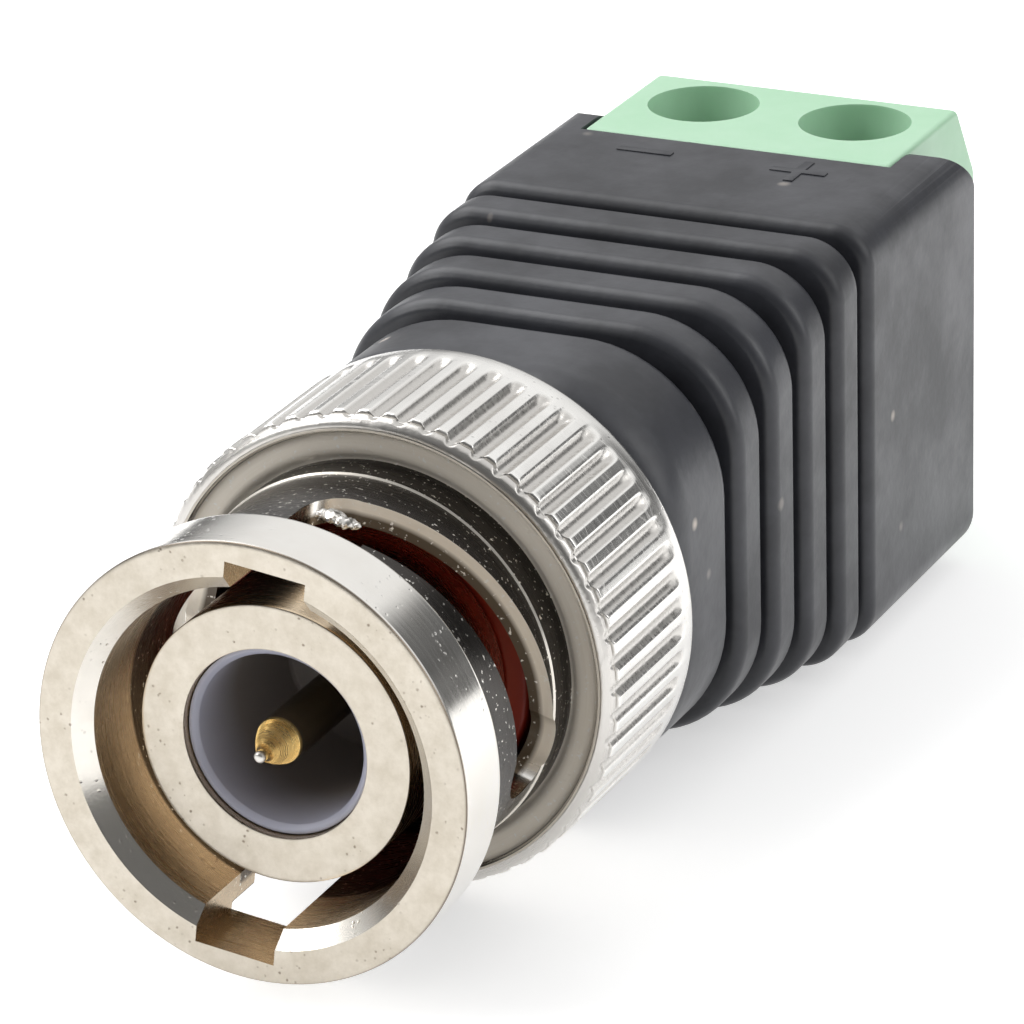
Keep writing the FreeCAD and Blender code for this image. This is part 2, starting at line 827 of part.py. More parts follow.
def hollow_housing(body):
    """Bore for the shank, chambers for the board, and the bay for the terminal block."""
    bore = sketch_at_station(body, shell_front, "ShankBore")
    circle(bore, cell.sleeve_diameter / 2 + cell.seat_gap)
    pocket(body, bore, cell.front_wall + cell.land_length)

    front = sketch_at_station(body, shell_front + cell.front_wall, "FrontChamber")
    circle(front, cell.front_chamber / 2)
    pocket(body, front, cell.chamber_start - shell_front - cell.front_wall)

    chamber_length = top_wall_rear - cell.chamber_start
    half = cell.chamber_width / 2
    ceiling = cell.box_width / 2 - cell.housing_wall
    upper = sketch_at_station(body, cell.chamber_start, "BoardChamber")
    outline(upper, [
        (-half, board_floor - cell.seat_gap),
        (half, board_floor - cell.seat_gap),
        (half, ceiling - cell.chamber_rounding),
        (half - cell.chamber_rounding, ceiling),
        (cell.chamber_rounding - half, ceiling),
        (-half, ceiling - cell.chamber_rounding),
    ])
    pocket(body, upper, chamber_length)

    lower = sketch_at_station(body, cell.chamber_start, "LowerChamber")
    ledge = half - cell.ledge_width
    outline(lower, [
        (-ledge, board_floor),
        (-ledge, floor_height + cell.chamber_rounding),
        (cell.chamber_rounding - ledge, floor_height),
        (ledge - cell.chamber_rounding, floor_height),
        (ledge, floor_height + cell.chamber_rounding),
        (ledge, board_floor),
    ])
    pocket(body, lower, chamber_length)

    bay = sketch_at_station(body, top_wall_rear, "BlockBay")
    half_bay = cell.pole_pitch + cell.running_gap
    above = cell.box_width
    rectangle(bay, -half_bay, half_bay, floor_height, above)
    pocket(body, bay, cell.box_length)
    round_tail(body, 1, cell.tail_rounding)
    round_tail(body, -1, cell.tail_rounding / 2)


def round_tail(body, side, radius):
    """Round the side walls' rear corner, at the top (side 1) or the bottom (side -1)."""
    edge = side * cell.box_width / 2
    along = shell_rear - radius
    up = edge - side * radius
    beyond = shell_rear + radius
    outside = edge + side * radius
    sketch = new_sketch(body, "YZ_Plane", 0, "TailCorner")
    full = Part.Circle(Vector(float(along), float(up), 0), Vector(0, 0, 1), float(radius))
    start = 0 if side > 0 else -math.pi / 2
    arc = sketch.addGeometry(Part.ArcOfCircle(full, start, start + math.pi / 2), False)
    rear_end, edge_end = (1, 2) if side > 0 else (2, 1)
    corners = [(along, edge), (along, outside), (beyond, outside), (beyond, up), (shell_rear, up)]
    places = [Vector(float(across), float(height), 0) for across, height in corners]
    lines = []
    for begin, finish in zip(places, places[1:]):
        lines.append(sketch.addGeometry(Part.LineSegment(begin, finish), False))
    sketch.addConstraint(Sketcher.Constraint("Coincident", arc, edge_end, lines[0], 1))
    for first, second in zip(lines, lines[1:]):
        sketch.addConstraint(Sketcher.Constraint("Coincident", first, 2, second, 1))
    sketch.addConstraint(Sketcher.Constraint("Coincident", lines[-1], 2, arc, rear_end))
    for line, (across, height) in zip(lines, corners):
        tie(sketch, "DistanceX", line, 1, across)
        tie(sketch, "DistanceY", line, 1, height)
    tie(sketch, "DistanceX", lines[-1], 2, shell_rear)
    tie(sketch, "DistanceY", lines[-1], 2, up)
    tie_radius(sketch, arc, radius)
    pocket(body, sketch, 2 * cell.box_width, midplane=True)


# Terminal block and its clamps


def make_terminal_block():
    """Two-way green block: sloped rear shoulder, screw wells, clamp rooms and wire entries."""
    body = new_body("terminal_block")
    side = new_sketch(body, "YZ_Plane", 0, "SideView")
    outline(side, [
        (block_front, block_floor),
        (block_rear, block_floor),
        (block_rear, block_top - cell.slope_drop),
        (block_front + cell.block_top_depth, block_top),
        (block_front, block_top),
    ])
    pad(body, side, 2 * cell.pole_pitch, midplane=True)

    well = new_sketch(body, "XY_Plane", block_top, "ScrewWell")
    circle(well, cell.well_diameter / 2, side_step, well_centre)
    shelf_top = cell.shelf_height + cell.shelf_depth
    well_cut = pocket(body, well, block_top - shelf_top)

    hole = new_sketch(body, "XY_Plane", shelf_top, "ShankHole")
    circle(hole, cell.screw_diameter / 2 + cell.running_gap, side_step, well_centre)
    hole_cut = pocket(body, hole, 2 * cell.shelf_depth)

    room = new_sketch(body, "XY_Plane", block_floor, "ClampRoom")
    half_wide = cell.clamp_room_width / 2
    half_deep = cell.clamp_room_depth / 2
    rectangle(room, side_step - half_wide, side_step + half_wide,
              well_centre - half_deep, well_centre + half_deep)
    room_cut = pocket(body, room, cell.shelf_height - block_floor, backwards=True)

    entry = sketch_at_station(body, block_rear, "WireEntry")
    low = clamp_floor - cell.running_gap
    half_entry = cell.entry_width / 2
    rectangle(entry, side_step - half_entry, side_step + half_entry, low, low + cell.entry_height)
    entry_cut = pocket(body, entry, block_rear - well_centre, backwards=True)

    slit = sketch_at_station(body, block_front, "BarSlit")
    half_bar = cell.bar_width / 2 + cell.running_gap
    rectangle(slit, side_step - half_bar, side_step + half_bar,
              bar_floor - cell.running_gap, bar_top + cell.running_gap)
    slit_cut = pocket(body, slit, well_centre - block_front)

    mirrored = body.newObject("PartDesign::Mirrored", "OtherPole")
    mirrored.Originals = [well_cut, hole_cut, room_cut, entry_cut, slit_cut]
    mirrored.MirrorPlane = (origin_item(body, "YZ_Plane"), [""])
    body.Tip = mirrored
    funnel_low = float(low)
    funnel_high = float(low + cell.entry_height)
    document.recompute()
    chamfer = body.newObject("PartDesign::Chamfer", "EntryFunnels")
    chamfer.Base = (mirrored, edges_where(mirrored, lambda p: near(p.y, block_rear)
                    and funnel_low - 0.01 < p.z < funnel_high + 0.01 and abs(p.x) < float(cell.pole_pitch) - 0.2))
    bind(chamfer, Size=cell.entry_funnel)
    return body


def make_wire_clamp(name, side):
    """Rising cage: a short square tube with a threaded hole in its crown."""
    body = new_body(name)
    crown = clamp_crown
    floor = clamp_floor - cell.clamp_floor
    half_wide = cell.clamp_room_width / 2 - 2 * cell.running_gap
    half_deep = cell.clamp_room_depth / 2 - 2 * cell.running_gap
    outer = sketch_at_station(body, well_centre, "Cage")
    rectangle(outer, -half_wide, half_wide, floor, crown)
    pad(body, outer, 2 * half_deep, midplane=True)
    window = sketch_at_station(body, well_centre, "Window")
    inner = half_wide - cell.clamp_side
    rectangle(window, -inner, inner, clamp_floor, crown - cell.clamp_top)
    pocket(body, window, 3 * half_deep, midplane=True)
    thread = new_sketch(body, "XY_Plane", crown, "Thread")
    circle(thread, cell.screw_diameter / 2 + cell.running_gap, 0, well_centre)
    pocket(body, thread, 1.5 * cell.clamp_top)
    place(body, across=side * side_step)
    return body


def make_clamp_screw(name, side):
    """Slotted cheese-head screw that turns in its well and lifts the cage."""
    body = new_body(name)
    shelf_top = cell.shelf_height + cell.shelf_depth
    seat = shelf_top + cell.seat_gap
    head_top = block_top - cell.screw_depth
    tip = bar_top + cell.running_gap
    head = cell.screw_head / 2
    shank = cell.screw_diameter / 2
    lead = cell.running_gap * 4
    sketch = new_sketch(body, "XZ_Plane", 0, "Profile")
    outline(sketch, [
        (0, tip), (shank - lead, tip), (shank, tip + lead), (shank, seat),
        (head, seat), (head, head_top - lead), (head - lead, head_top), (0, head_top),
    ])
    turned = body.newObject("PartDesign::Revolution", "Turned")
    turned.Profile = sketch
    turned.ReferenceAxis = (sketch, ["V_Axis"])
    turned.Angle = 360
    slot = new_sketch(body, "XY_Plane", head_top, "Slot")
    rectangle(slot, -cell.screw_head, cell.screw_head, -cell.screw_slot / 2, cell.screw_slot / 2)
    pocket(body, slot, cell.screw_slot_depth)
    place(body, across=side * side_step, along=well_centre)
    return body


def make_contact_bar(name, side):
    """Strip that the cage presses the wire against, with a narrowed solder end."""
    body = new_body(name)
    sketch = new_sketch(body, "XY_Plane", bar_floor + cell.seat_gap, "Strip")
    half = cell.bar_width / 2
    front = block_front - cell.bar_overlap
    rear = well_centre + cell.clamp_room_depth / 2
    outline(sketch, [
        (-half / 2, front), (half / 2, front), (half, front + half), (half, rear),
        (-half, rear), (-half, front + half),
    ])
    pad(body, sketch, cell.bar_sheet - cell.seat_gap)
    place(body, across=side * side_step)
    return body


# Circuit board and transformer


def make_circuit_board():
    """Board that rests on the housing's ledges and carries the transformer."""
    body = new_body("circuit_board")
    sketch = new_sketch(body, "XY_Plane", board_floor, "Board")
    half = cell.chamber_width / 2 - cell.running_gap
    rectangle(sketch, -half, half, board_front, board_front + cell.board_length)
    pad(body, sketch, cell.board_sheet)
    return body


def make_torus(name, section, angle=360):
    """A ring of round section, lying flat above the board."""
    torus = document.addObject("Part::Torus", name)
    torus.setExpression("Radius1", cell.core_radius.formula)
    torus.setExpression("Radius2", as_size(section).formula)
    torus.setExpression("Angle3", as_size(angle).formula)
    return torus


def place_on_board(item, turn=0):
    height = board_top + cell.core_section + cell.winding_layer + 2 * cell.running_gap
    item.Placement = Placement(Vector(), Rotation(Vector(0, 0, 1), turn))
    place(item, along=cell.core_place, up=height)


def make_transformer():
    """Ferrite ring and the two windings that share it, one on each side."""
    core = make_torus("ferrite_ring", cell.core_section)
    core.Label = "ferrite_ring"
    place_on_board(core)
    pieces = [core]
    spare = (180 - SIZES["winding_angle"]) / 2
    for name, turn in (("line_winding", spare), ("video_winding", 180 + spare)):
        layer = make_torus(f"{name}_outside", cell.core_section + cell.winding_layer, cell.winding_angle)
        inner = make_torus(f"{name}_inside", cell.core_section + cell.seat_gap)
        winding = document.addObject("Part::Cut", name)
        winding.Base = layer
        winding.Tool = inner
        winding.Label = name
        place_on_board(winding, turn)
        pieces.append(winding)
    return pieces


def make_chip_capacitor():
    chip = document.addObject("Part::Box", "chip_capacitor")
    chip.Label = "chip_capacitor"
    bind(chip, Length=cell.chip_width, Width=cell.chip_length, Height=cell.chip_width)
    place(chip, across=cell.chip_across, along=board_front + cell.chip_width, up=board_top + cell.seat_gap)
    return chip


# Build, check and write


def build_all():
    pieces = [
        make_coupling_nut(),
        make_plug_body(),
        make_gasket(),
        make_wave_washer(),
        make_thrust_washer(),
        make_retaining_ring(),
        make_ground_tag(),
        make_front_insulator(),
        make_rear_insulator(),
        make_centre_pin(),
        make_signal_wire(),
        make_housing(),
        make_terminal_block(),
        make_circuit_board(),
        make_chip_capacitor(),
    ]
    pieces += make_transformer()
    for side_name, side in (("left", -1), ("right", 1)):
        pieces.append(make_wire_clamp(f"wire_clamp_{side_name}", side))
        pieces.append(make_clamp_screw(f"clamp_screw_{side_name}", side))
        pieces.append(make_contact_bar(f"contact_bar_{side_name}", side))
    document.recompute()
    return pieces


def check(pieces):
    """Stop before anything is written if an object failed or a shape isn't sound."""
    for item in document.Objects:
        if "Invalid" in item.State or "Error" in item.State:
            raise RuntimeError(f"{item.Name} failed to build: {item.State}")
    for piece in pieces:
        if piece.Shape.isNull() or not piece.Shape.isValid() or not piece.Shape.Solids:
            raise RuntimeError(f"{piece.Label} is not a sound solid")


def write(pieces):
    os.makedirs("parts", exist_ok=True)
    for piece in pieces:
        piece.Shape.exportStep(f"parts/{piece.Label}.step")
        box = piece.Shape.BoundBox
        print(f"{piece.Label:18s} {piece.Shape.Volume:9.3f} mm3  solids {len(piece.Shape.Solids)}"
              f"  X {box.XMin:.2f}..{box.XMax:.2f}  Y {box.YMin:.2f}..{box.YMax:.2f}"
              f"  Z {box.ZMin:.2f}..{box.ZMax:.2f}")


all_pieces = build_all()
check(all_pieces)
write(all_pieces)
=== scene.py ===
# %% [markdown]
# A bayonet coaxial plug in a ribbed black housing, with a green screw terminal block.
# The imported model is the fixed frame: every piece made here lies where a CAD node lies.
# %% Load the frame
import math

import bmesh
import bpy
from mathutils import Matrix, Vector


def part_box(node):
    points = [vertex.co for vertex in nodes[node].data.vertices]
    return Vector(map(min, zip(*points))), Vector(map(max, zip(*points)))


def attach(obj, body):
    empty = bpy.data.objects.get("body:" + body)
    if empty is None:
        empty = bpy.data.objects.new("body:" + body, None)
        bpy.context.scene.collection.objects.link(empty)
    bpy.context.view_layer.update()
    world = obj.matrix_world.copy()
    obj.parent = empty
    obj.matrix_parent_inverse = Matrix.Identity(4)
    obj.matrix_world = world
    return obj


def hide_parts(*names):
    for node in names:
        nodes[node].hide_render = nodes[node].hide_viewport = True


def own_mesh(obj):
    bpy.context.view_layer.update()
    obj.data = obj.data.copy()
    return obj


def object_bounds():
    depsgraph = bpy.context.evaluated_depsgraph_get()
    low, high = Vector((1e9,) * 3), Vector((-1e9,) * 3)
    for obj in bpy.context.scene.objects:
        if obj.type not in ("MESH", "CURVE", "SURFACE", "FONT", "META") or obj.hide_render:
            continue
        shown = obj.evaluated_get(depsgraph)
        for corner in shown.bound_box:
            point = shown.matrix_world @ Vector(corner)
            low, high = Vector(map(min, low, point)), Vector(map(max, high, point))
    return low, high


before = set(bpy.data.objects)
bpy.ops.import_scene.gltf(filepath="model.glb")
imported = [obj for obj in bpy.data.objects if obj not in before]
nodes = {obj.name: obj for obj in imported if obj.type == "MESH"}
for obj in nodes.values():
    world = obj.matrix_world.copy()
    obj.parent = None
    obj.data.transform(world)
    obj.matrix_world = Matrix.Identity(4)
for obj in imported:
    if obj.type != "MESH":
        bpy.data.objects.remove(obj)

MM = 0.001
cad_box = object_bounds()

# %% [markdown]
# The camera stands in front, above and to the right. It was found by fitting the known
# sizes of the connector and the terminals to the photograph, so it is a long lens with a
# small shift. Its three axes are written out, and the object is never turned to suit it.
# %% Camera
CAMERA_PLACE = Vector((68.85, -128.03, 66.19)) * MM
CAMERA_RIGHT = Vector((0.9088, 0.4165, -0.0231))
CAMERA_UP = Vector((-0.1383, 0.3529, 0.9254))
CAMERA_BACK = Vector((0.3936, -0.8378, 0.3783))

camera_data = bpy.data.cameras.new("camera")
camera_data.sensor_width = 36
camera_data.lens = 211.1
camera_data.shift_x = -0.0516
camera_data.shift_y = -0.0136
camera_data.clip_start = 0.01
camera = bpy.data.objects.new("camera", camera_data)
bpy.context.scene.collection.objects.link(camera)
turn = Matrix((CAMERA_RIGHT, CAMERA_UP, CAMERA_BACK)).transposed()
camera.matrix_world = Matrix.Translation(CAMERA_PLACE) @ turn.to_4x4()
bpy.context.scene.camera = camera
bpy.context.scene.view_settings.view_transform = "Standard"
print("camera lens:", camera_data.lens, "mm")

# %% [markdown]
# The photograph is a cut-out on pure white. The floor is a pale plain sheet that the
# camera sees as white, while it still takes the object's soft shadow. Metal mirrors its
# surroundings, so the world is a pale studio with darker bands low down and to one side.
# %% Floor and world
FLOOR_HEIGHT = cad_box[0][2]
# Added where the camera or a mirror sees the floor, so that it is white there
FLOOR_GLOW = 0.5
# Brightness of the studio by height, from straight down (0) to straight up (1)
STUDIO_LEVELS = ((0.44, 0.45), (0.49, 0.16), (0.54, 0.16), (0.60, 0.56), (0.70, 0.92),
                 (0.85, 1.0))
# Dark parts of the room: a direction, and how near to it (as a cosine) the dark starts and
# is full. The first is where the photographer stands, the second a card behind on the right.
DARK_PLACES = (((0.12, -0.92, 0.37), 0.40, 0.80), ((0.45, 0.84, 0.30), 0.955, 0.995))
DARKEST = 0.16


def link(tree, source, target):
    tree.links.new(source, target)


def math_node(tree, operation, first, second=None):
    """A Math node; each operand is a number or another node's output."""
    item = tree.nodes.new("ShaderNodeMath")
    item.operation = operation
    for index, operand in enumerate((first, second)):
        if operand is None:
            continue
        if isinstance(operand, (int, float)):
            item.inputs[index].default_value = operand
        else:
            tree.links.new(operand, item.inputs[index])
    return item.outputs[0]


def multiply(tree, *factors):
    """Product of two or more numbers or sockets."""
    product = factors[0]
    for factor in factors[1:]:
        product = math_node(tree, "MULTIPLY", product, factor)
    return product


def add(tree, first, second):
    return math_node(tree, "ADD", first, second)


def make_floor():
    bm = bmesh.new()
    bmesh.ops.create_grid(bm, x_segments=1, y_segments=1, size=3.0)
    bmesh.ops.translate(bm, vec=(0, 0, FLOOR_HEIGHT), verts=bm.verts)
    mesh = bpy.data.meshes.new("floor")
    bm.to_mesh(mesh)
    bm.free()
    floor = bpy.data.objects.new("floor", mesh)
    bpy.context.scene.collection.objects.link(floor)
    material = bpy.data.materials.new("white_floor")
    material.use_nodes = True
    tree = material.node_tree
    surface = tree.nodes["Principled BSDF"]
    surface.inputs["Base Color"].default_value = (0.86, 0.86, 0.86, 1)
    surface.inputs["Roughness"].default_value = 0.9
    surface.inputs["Specular IOR Level"].default_value = 0.0
    surface.inputs["Emission Color"].default_value = (1, 1, 1, 1)
    path = tree.nodes.new("ShaderNodeLightPath")
    mirrored = math_node(tree, "MAXIMUM", path.outputs["Is Glossy Ray"],
                         path.outputs["Is Transmission Ray"])
    seen = math_node(tree, "MAXIMUM", path.outputs["Is Camera Ray"], mirrored)
    link(tree, multiply(tree, seen, FLOOR_GLOW), surface.inputs["Emission Strength"])
    mesh.materials.append(material)


def make_world():
    world = bpy.data.worlds.new("studio")
    bpy.context.scene.world = world
    world.use_nodes = True
    tree = world.node_tree
    tree.nodes.clear()
    output = tree.nodes.new("ShaderNodeOutputWorld")
    place = tree.nodes.new("ShaderNodeTexCoord")
    split = tree.nodes.new("ShaderNodeSeparateXYZ")
    link(tree, place.outputs["Generated"], split.inputs[0])
    level = tree.nodes.new("ShaderNodeMapRange")
    level.inputs["From Min"].default_value = -1
    link(tree, split.outputs["Z"], level.inputs["Value"])
    height = tree.nodes.new("ShaderNodeValToRGB")
    ramp = height.color_ramp
    ramp.elements[0].position = 0.0
    ramp.elements[0].color = (0.5, 0.5, 0.5, 1)
    ramp.elements[1].position = 1.0
    ramp.elements[1].color = (0.9, 0.9, 0.9, 1)
    for position, bright in STUDIO_LEVELS:
        stop = ramp.elements.new(position)
        stop.color = (bright, bright, bright, 1)
    link(tree, level.outputs["Result"], height.inputs["Fac"])
    shades = []
    for direction, start, full in DARK_PLACES:
        toward = tree.nodes.new("ShaderNodeVectorMath")
        toward.operation = "DOT_PRODUCT"
        toward.inputs[1].default_value = direction
        link(tree, place.outputs["Generated"], toward.inputs[0])
        shade = tree.nodes.new("ShaderNodeMapRange")
        shade.interpolation_type = "SMOOTHSTEP"
        shade.inputs["To Min"].default_value = 1.0
        for name, number in (("From Min", start), ("From Max", full), ("To Max", DARKEST)):
            shade.inputs[name].default_value = number
        link(tree, toward.outputs["Value"], shade.inputs["Value"])
        shades.append(shade.outputs["Result"])
    studio = tree.nodes.new("ShaderNodeBackground")
    link(tree, height.outputs["Color"], studio.inputs["Color"])
    link(tree, multiply(tree, *shades), studio.inputs["Strength"])
    white = tree.nodes.new("ShaderNodeBackground")
    white.inputs["Color"].default_value = (1, 1, 1, 1)
    path = tree.nodes.new("ShaderNodeLightPath")
    choose = tree.nodes.new("ShaderNodeMixShader")
    link(tree, path.outputs["Is Camera Ray"], choose.inputs["Fac"])
    link(tree, studio.outputs[0], choose.inputs[1])
    link(tree, white.outputs[0], choose.inputs[2])
    link(tree, choose.outputs[0], output.inputs["Surface"])


make_floor()
make_world()
print("floor at", round(FLOOR_HEIGHT / MM, 2), "mm")

# %% [markdown]
# A large soft lamp stands high on the left and behind, a smaller one on the right, and a
# third near the camera, as round a light tent. Area lamps give the long soft highlights on
# the plating and the pale top faces of the black housing.
# %% Lamps
OBJECT_MIDDLE = Vector((0, 18, 0)) * MM


def add_lamp(name, place, width, height, power):
    data = bpy.data.lights.new(name, "AREA")
    data.shape = "RECTANGLE"
    data.size = width
    data.size_y = height
    data.energy = power
    lamp = bpy.data.objects.new(name, data)
    bpy.context.scene.collection.objects.link(lamp)
    aim = OBJECT_MIDDLE - Vector(place)
    lamp.matrix_world = Matrix.Translation(place) @ aim.to_track_quat("-Z", "Y").to_matrix().to_4x4()
    print("lamp", name, power, "W")


add_lamp("top_left", (-0.30, 0.10, 0.38), 0.42, 0.42, 1.3)
add_lamp("right_side", (0.42, 0.10, 0.20), 0.16, 0.40, 0.38)
add_lamp("left_front", (-0.40, -0.26, 0.30), 0.24, 0.24, 0.75)

# %% [markdown]
# Most pieces are turned on a lathe, so they are spun: a closed profile of radius and
# station goes round the Y axis. Sharp edges then get a small bevel, because a machined
# edge catches the light. All shapes are made in millimetres and scaled at the end.
# %% Mesh helpers
FULL_TURN = 2 * math.pi
AXIS = (0, 1, 0)


def spun(profile, steps=192, angle=FULL_TURN):
    """Spin a closed profile of (radius, station) pairs about the Y axis."""
    bm = bmesh.new()
    corners = [bm.verts.new((radius, station, 0)) for radius, station in profile]
    edges = [bm.edges.new((a, b)) for a, b in zip(corners, corners[1:] + corners[:1])]
    full = angle == FULL_TURN
    if not full:
        edges.append(bm.faces.new(corners))
    bmesh.ops.spin(bm, geom=corners + edges, cent=(0, 0, 0), axis=AXIS, angle=angle,
                   steps=steps, use_merge=full)
    bmesh.ops.remove_doubles(bm, verts=bm.verts, dist=0.0005)
    bmesh.ops.recalc_face_normals(bm, faces=bm.faces)
    return bm


def sharp_edges(bm, degrees=28, where=None):
    bm.normal_update()
    limit = math.radians(degrees)
    return [edge for edge in bm.edges
            if len(edge.link_faces) == 2 and edge.calc_face_angle(0) > limit
            and (where is None or where(edge))]


def soften(bm, width, segments=2, degrees=28, where=None):
    """Bevel the sharp edges of a shape, or those of them that a test picks."""
    bmesh.ops.bevel(bm, geom=sharp_edges(bm, degrees, where), offset=width, segments=segments,
                    profile=0.5, affect="EDGES", material=-1, clamp_overlap=True)
    bmesh.ops.recalc_face_normals(bm, faces=bm.faces)
    return bm


def block(low, high):
    """A box between two corners."""
    bm = bmesh.new()
    bmesh.ops.create_cube(bm, size=1)
    low, high = Vector(low), Vector(high)
    bmesh.ops.scale(bm, vec=high - low, verts=bm.verts)
    bmesh.ops.translate(bm, vec=(low + high) / 2, verts=bm.verts)
    return bm


def slab(bm, corners, offset):
    """Add a prism: a flat face through the corners, drawn out by an offset."""
    face = bm.faces.new([bm.verts.new(corner) for corner in corners])
    grown = bmesh.ops.extrude_face_region(bm, geom=[face])["geom"]
    bmesh.ops.translate(bm, vec=offset,
                        verts=[item for item in grown if isinstance(item, bmesh.types.BMVert)])
    bmesh.ops.recalc_face_normals(bm, faces=bm.faces)
    return bm


def rod(radius, start, end, segments=48):
    """A cylinder between two points."""
    bm = bmesh.new()
    start, end = Vector(start), Vector(end)
    along = end - start
    bmesh.ops.create_cone(bm, cap_ends=True, segments=segments, radius1=radius,
                          radius2=radius, depth=along.length)
    turn_to = along.to_track_quat("Z", "Y").to_matrix()
    bmesh.ops.rotate(bm, cent=(0, 0, 0), matrix=turn_to, verts=bm.verts)
    bmesh.ops.translate(bm, vec=(start + end) / 2, verts=bm.verts)
    return bm


def loose_object(bm, name):
    mesh = bpy.data.meshes.new(name)
    bm.to_mesh(mesh)
    bm.free()
    return bpy.data.objects.new(name, mesh)


def carve(bm, *cutters):
    """Cut closed shapes out of a shape with Boolean modifiers."""
    for cutter in cutters:
        target = loose_object(bm, "target")
        tool = loose_object(cutter, "tool")
        for item in (target, tool):
            bpy.context.scene.collection.objects.link(item)
        cut = target.modifiers.new("cut", "BOOLEAN")
        cut.operation = "DIFFERENCE"
        cut.solver = "EXACT"
        cut.object = tool
        graph = bpy.context.evaluated_depsgraph_get()
        result = bpy.data.meshes.new_from_object(target.evaluated_get(graph))
        bm = bmesh.new()
        bm.from_mesh(result)
        for item in (target, tool):
            bpy.data.objects.remove(item)
        bpy.data.meshes.remove(result)
        bmesh.ops.remove_doubles(bm, verts=bm.verts, dist=0.0005)
    return bm


def finish_piece(bm, name, body, material, replaced=(), smooth=32):
    """Scale a finished shape to metres, shade it and let it ride on its body."""
    bmesh.ops.scale(bm, vec=(MM, MM, MM), verts=bm.verts)
    piece = loose_object(bm, name)
    bpy.context.scene.collection.objects.link(piece)
    piece.data.shade_smooth()
    piece.data.set_sharp_from_angle(angle=math.radians(smooth))
    piece.data.materials.append(material)
    even = piece.modifiers.new("even_shading", "WEIGHTED_NORMAL")
    even.keep_sharp = True
    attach(piece, body)
    if replaced:
        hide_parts(*replaced)
    print("made", name, "with", len(piece.data.polygons), "faces")
    return piece


# %% [markdown]
# Several finishes share the same small faults, so each fault is a shader node group with
# named inputs. A lathe leaves fine rings round the axis, whose pattern depends on the
# distance from the axis and the station along it, and hardly on the angle.
# %% Turning marks group


def new_group(name, inputs, outputs):
    """A node group with float inputs (name, default) and named outputs."""
    group = bpy.data.node_groups.new(name, "ShaderNodeTree")
    for label, default in inputs:
        socket = group.interface.new_socket(name=label, in_out="INPUT", socket_type="NodeSocketFloat")
        socket.default_value = default
    for label, kind in outputs:
        group.interface.new_socket(name=label, in_out="OUTPUT", socket_type=kind)
    return group, group.nodes.new("NodeGroupInput"), group.nodes.new("NodeGroupOutput")


def stretch(tree, value, low, high, to_low=0.0, to_high=1.0):
    """Map a value from one range to another, clamped."""
    item = tree.nodes.new("ShaderNodeMapRange")
    item.clamp = True
    link(tree, value, item.inputs["Value"])
    for name, number in (("From Min", low), ("From Max", high), ("To Min", to_low),
                         ("To Max", to_high)):
        item.inputs[name].default_value = number
    return item.outputs["Result"]


def noise(tree, place, scale, detail=2.0, roughness=0.5):
    item = tree.nodes.new("ShaderNodeTexNoise")
    item.inputs["Scale"].default_value = scale
    item.inputs["Detail"].default_value = detail
    item.inputs["Roughness"].default_value = roughness
    if place is not None:
        link(tree, place, item.inputs["Vector"])
    return item.outputs["Fac"]


def object_place(tree):
    return tree.nodes.new("ShaderNodeTexCoord").outputs["Object"]


def radius_of(tree, split):
    """Distance from the Y axis, from separated coordinates."""
    across = multiply(tree, split.outputs["X"], split.outputs["X"])
    up = multiply(tree, split.outputs["Z"], split.outputs["Z"])
    return math_node(tree, "SQRT", add(tree, across, up))


def turning_marks_group():
    group, entry, leave = new_group("turning_marks", [("Fineness", 1.0)],
                                    [("Marks", "NodeSocketFloat")])
    place = group.nodes.new("ShaderNodeTexCoord")
    split = group.nodes.new("ShaderNodeSeparateXYZ")
    link(group, place.outputs["Object"], split.inputs[0])
    radius = radius_of(group, split)
    angle = math_node(group, "ARCTAN2", split.outputs["Z"], split.outputs["X"])
    join = group.nodes.new("ShaderNodeCombineXYZ")
    fineness = multiply(group, entry.outputs["Fineness"], 1000)
    link(group, multiply(group, radius, fineness), join.inputs[0])
    link(group, multiply(group, split.outputs["Y"], fineness), join.inputs[1])
    link(group, multiply(group, angle, 0.15), join.inputs[2])
    marks = noise(group, join.outputs[0], 9.0, detail=4.0, roughness=0.7)
    link(group, marks, leave.inputs["Marks"])
    return group


def turned_places_group():
    """Radius and station in millimetres, and how much a face looks along the axis."""
    group, entry, leave = new_group(
        "turned_places", [("Millimetre", 1000.0)],
        [("Radius", "NodeSocketFloat"), ("Station", "NodeSocketFloat"), ("Facing", "NodeSocketFloat")])
    place = group.nodes.new("ShaderNodeTexCoord")
    split = group.nodes.new("ShaderNodeSeparateXYZ")
    link(group, place.outputs["Object"], split.inputs[0])
    radius = radius_of(group, split)
    scale = entry.outputs["Millimetre"]
    link(group, multiply(group, radius, scale), leave.inputs["Radius"])
    link(group, multiply(group, split.outputs["Y"], scale), leave.inputs["Station"])
    normal = group.nodes.new("ShaderNodeSeparateXYZ")
    link(group, place.outputs["Normal"], normal.inputs[0])
    link(group, math_node(group, "ABSOLUTE", normal.outputs["Y"]), leave.inputs["Facing"])
    return group


TURNING_MARKS = turning_marks_group()
TURNED_PLACES = turned_places_group()
print("groups", TURNING_MARKS.name, TURNED_PLACES.name)

# %% [markdown]
# Plating also has pits, specks and hairline scratches that run in all directions. Pits are
# the small cells of a Voronoi pattern; scratches are the thin middle lines of stretched
# noise. Both come out as masks from 0 to 1.
# %% Pits and scratches group


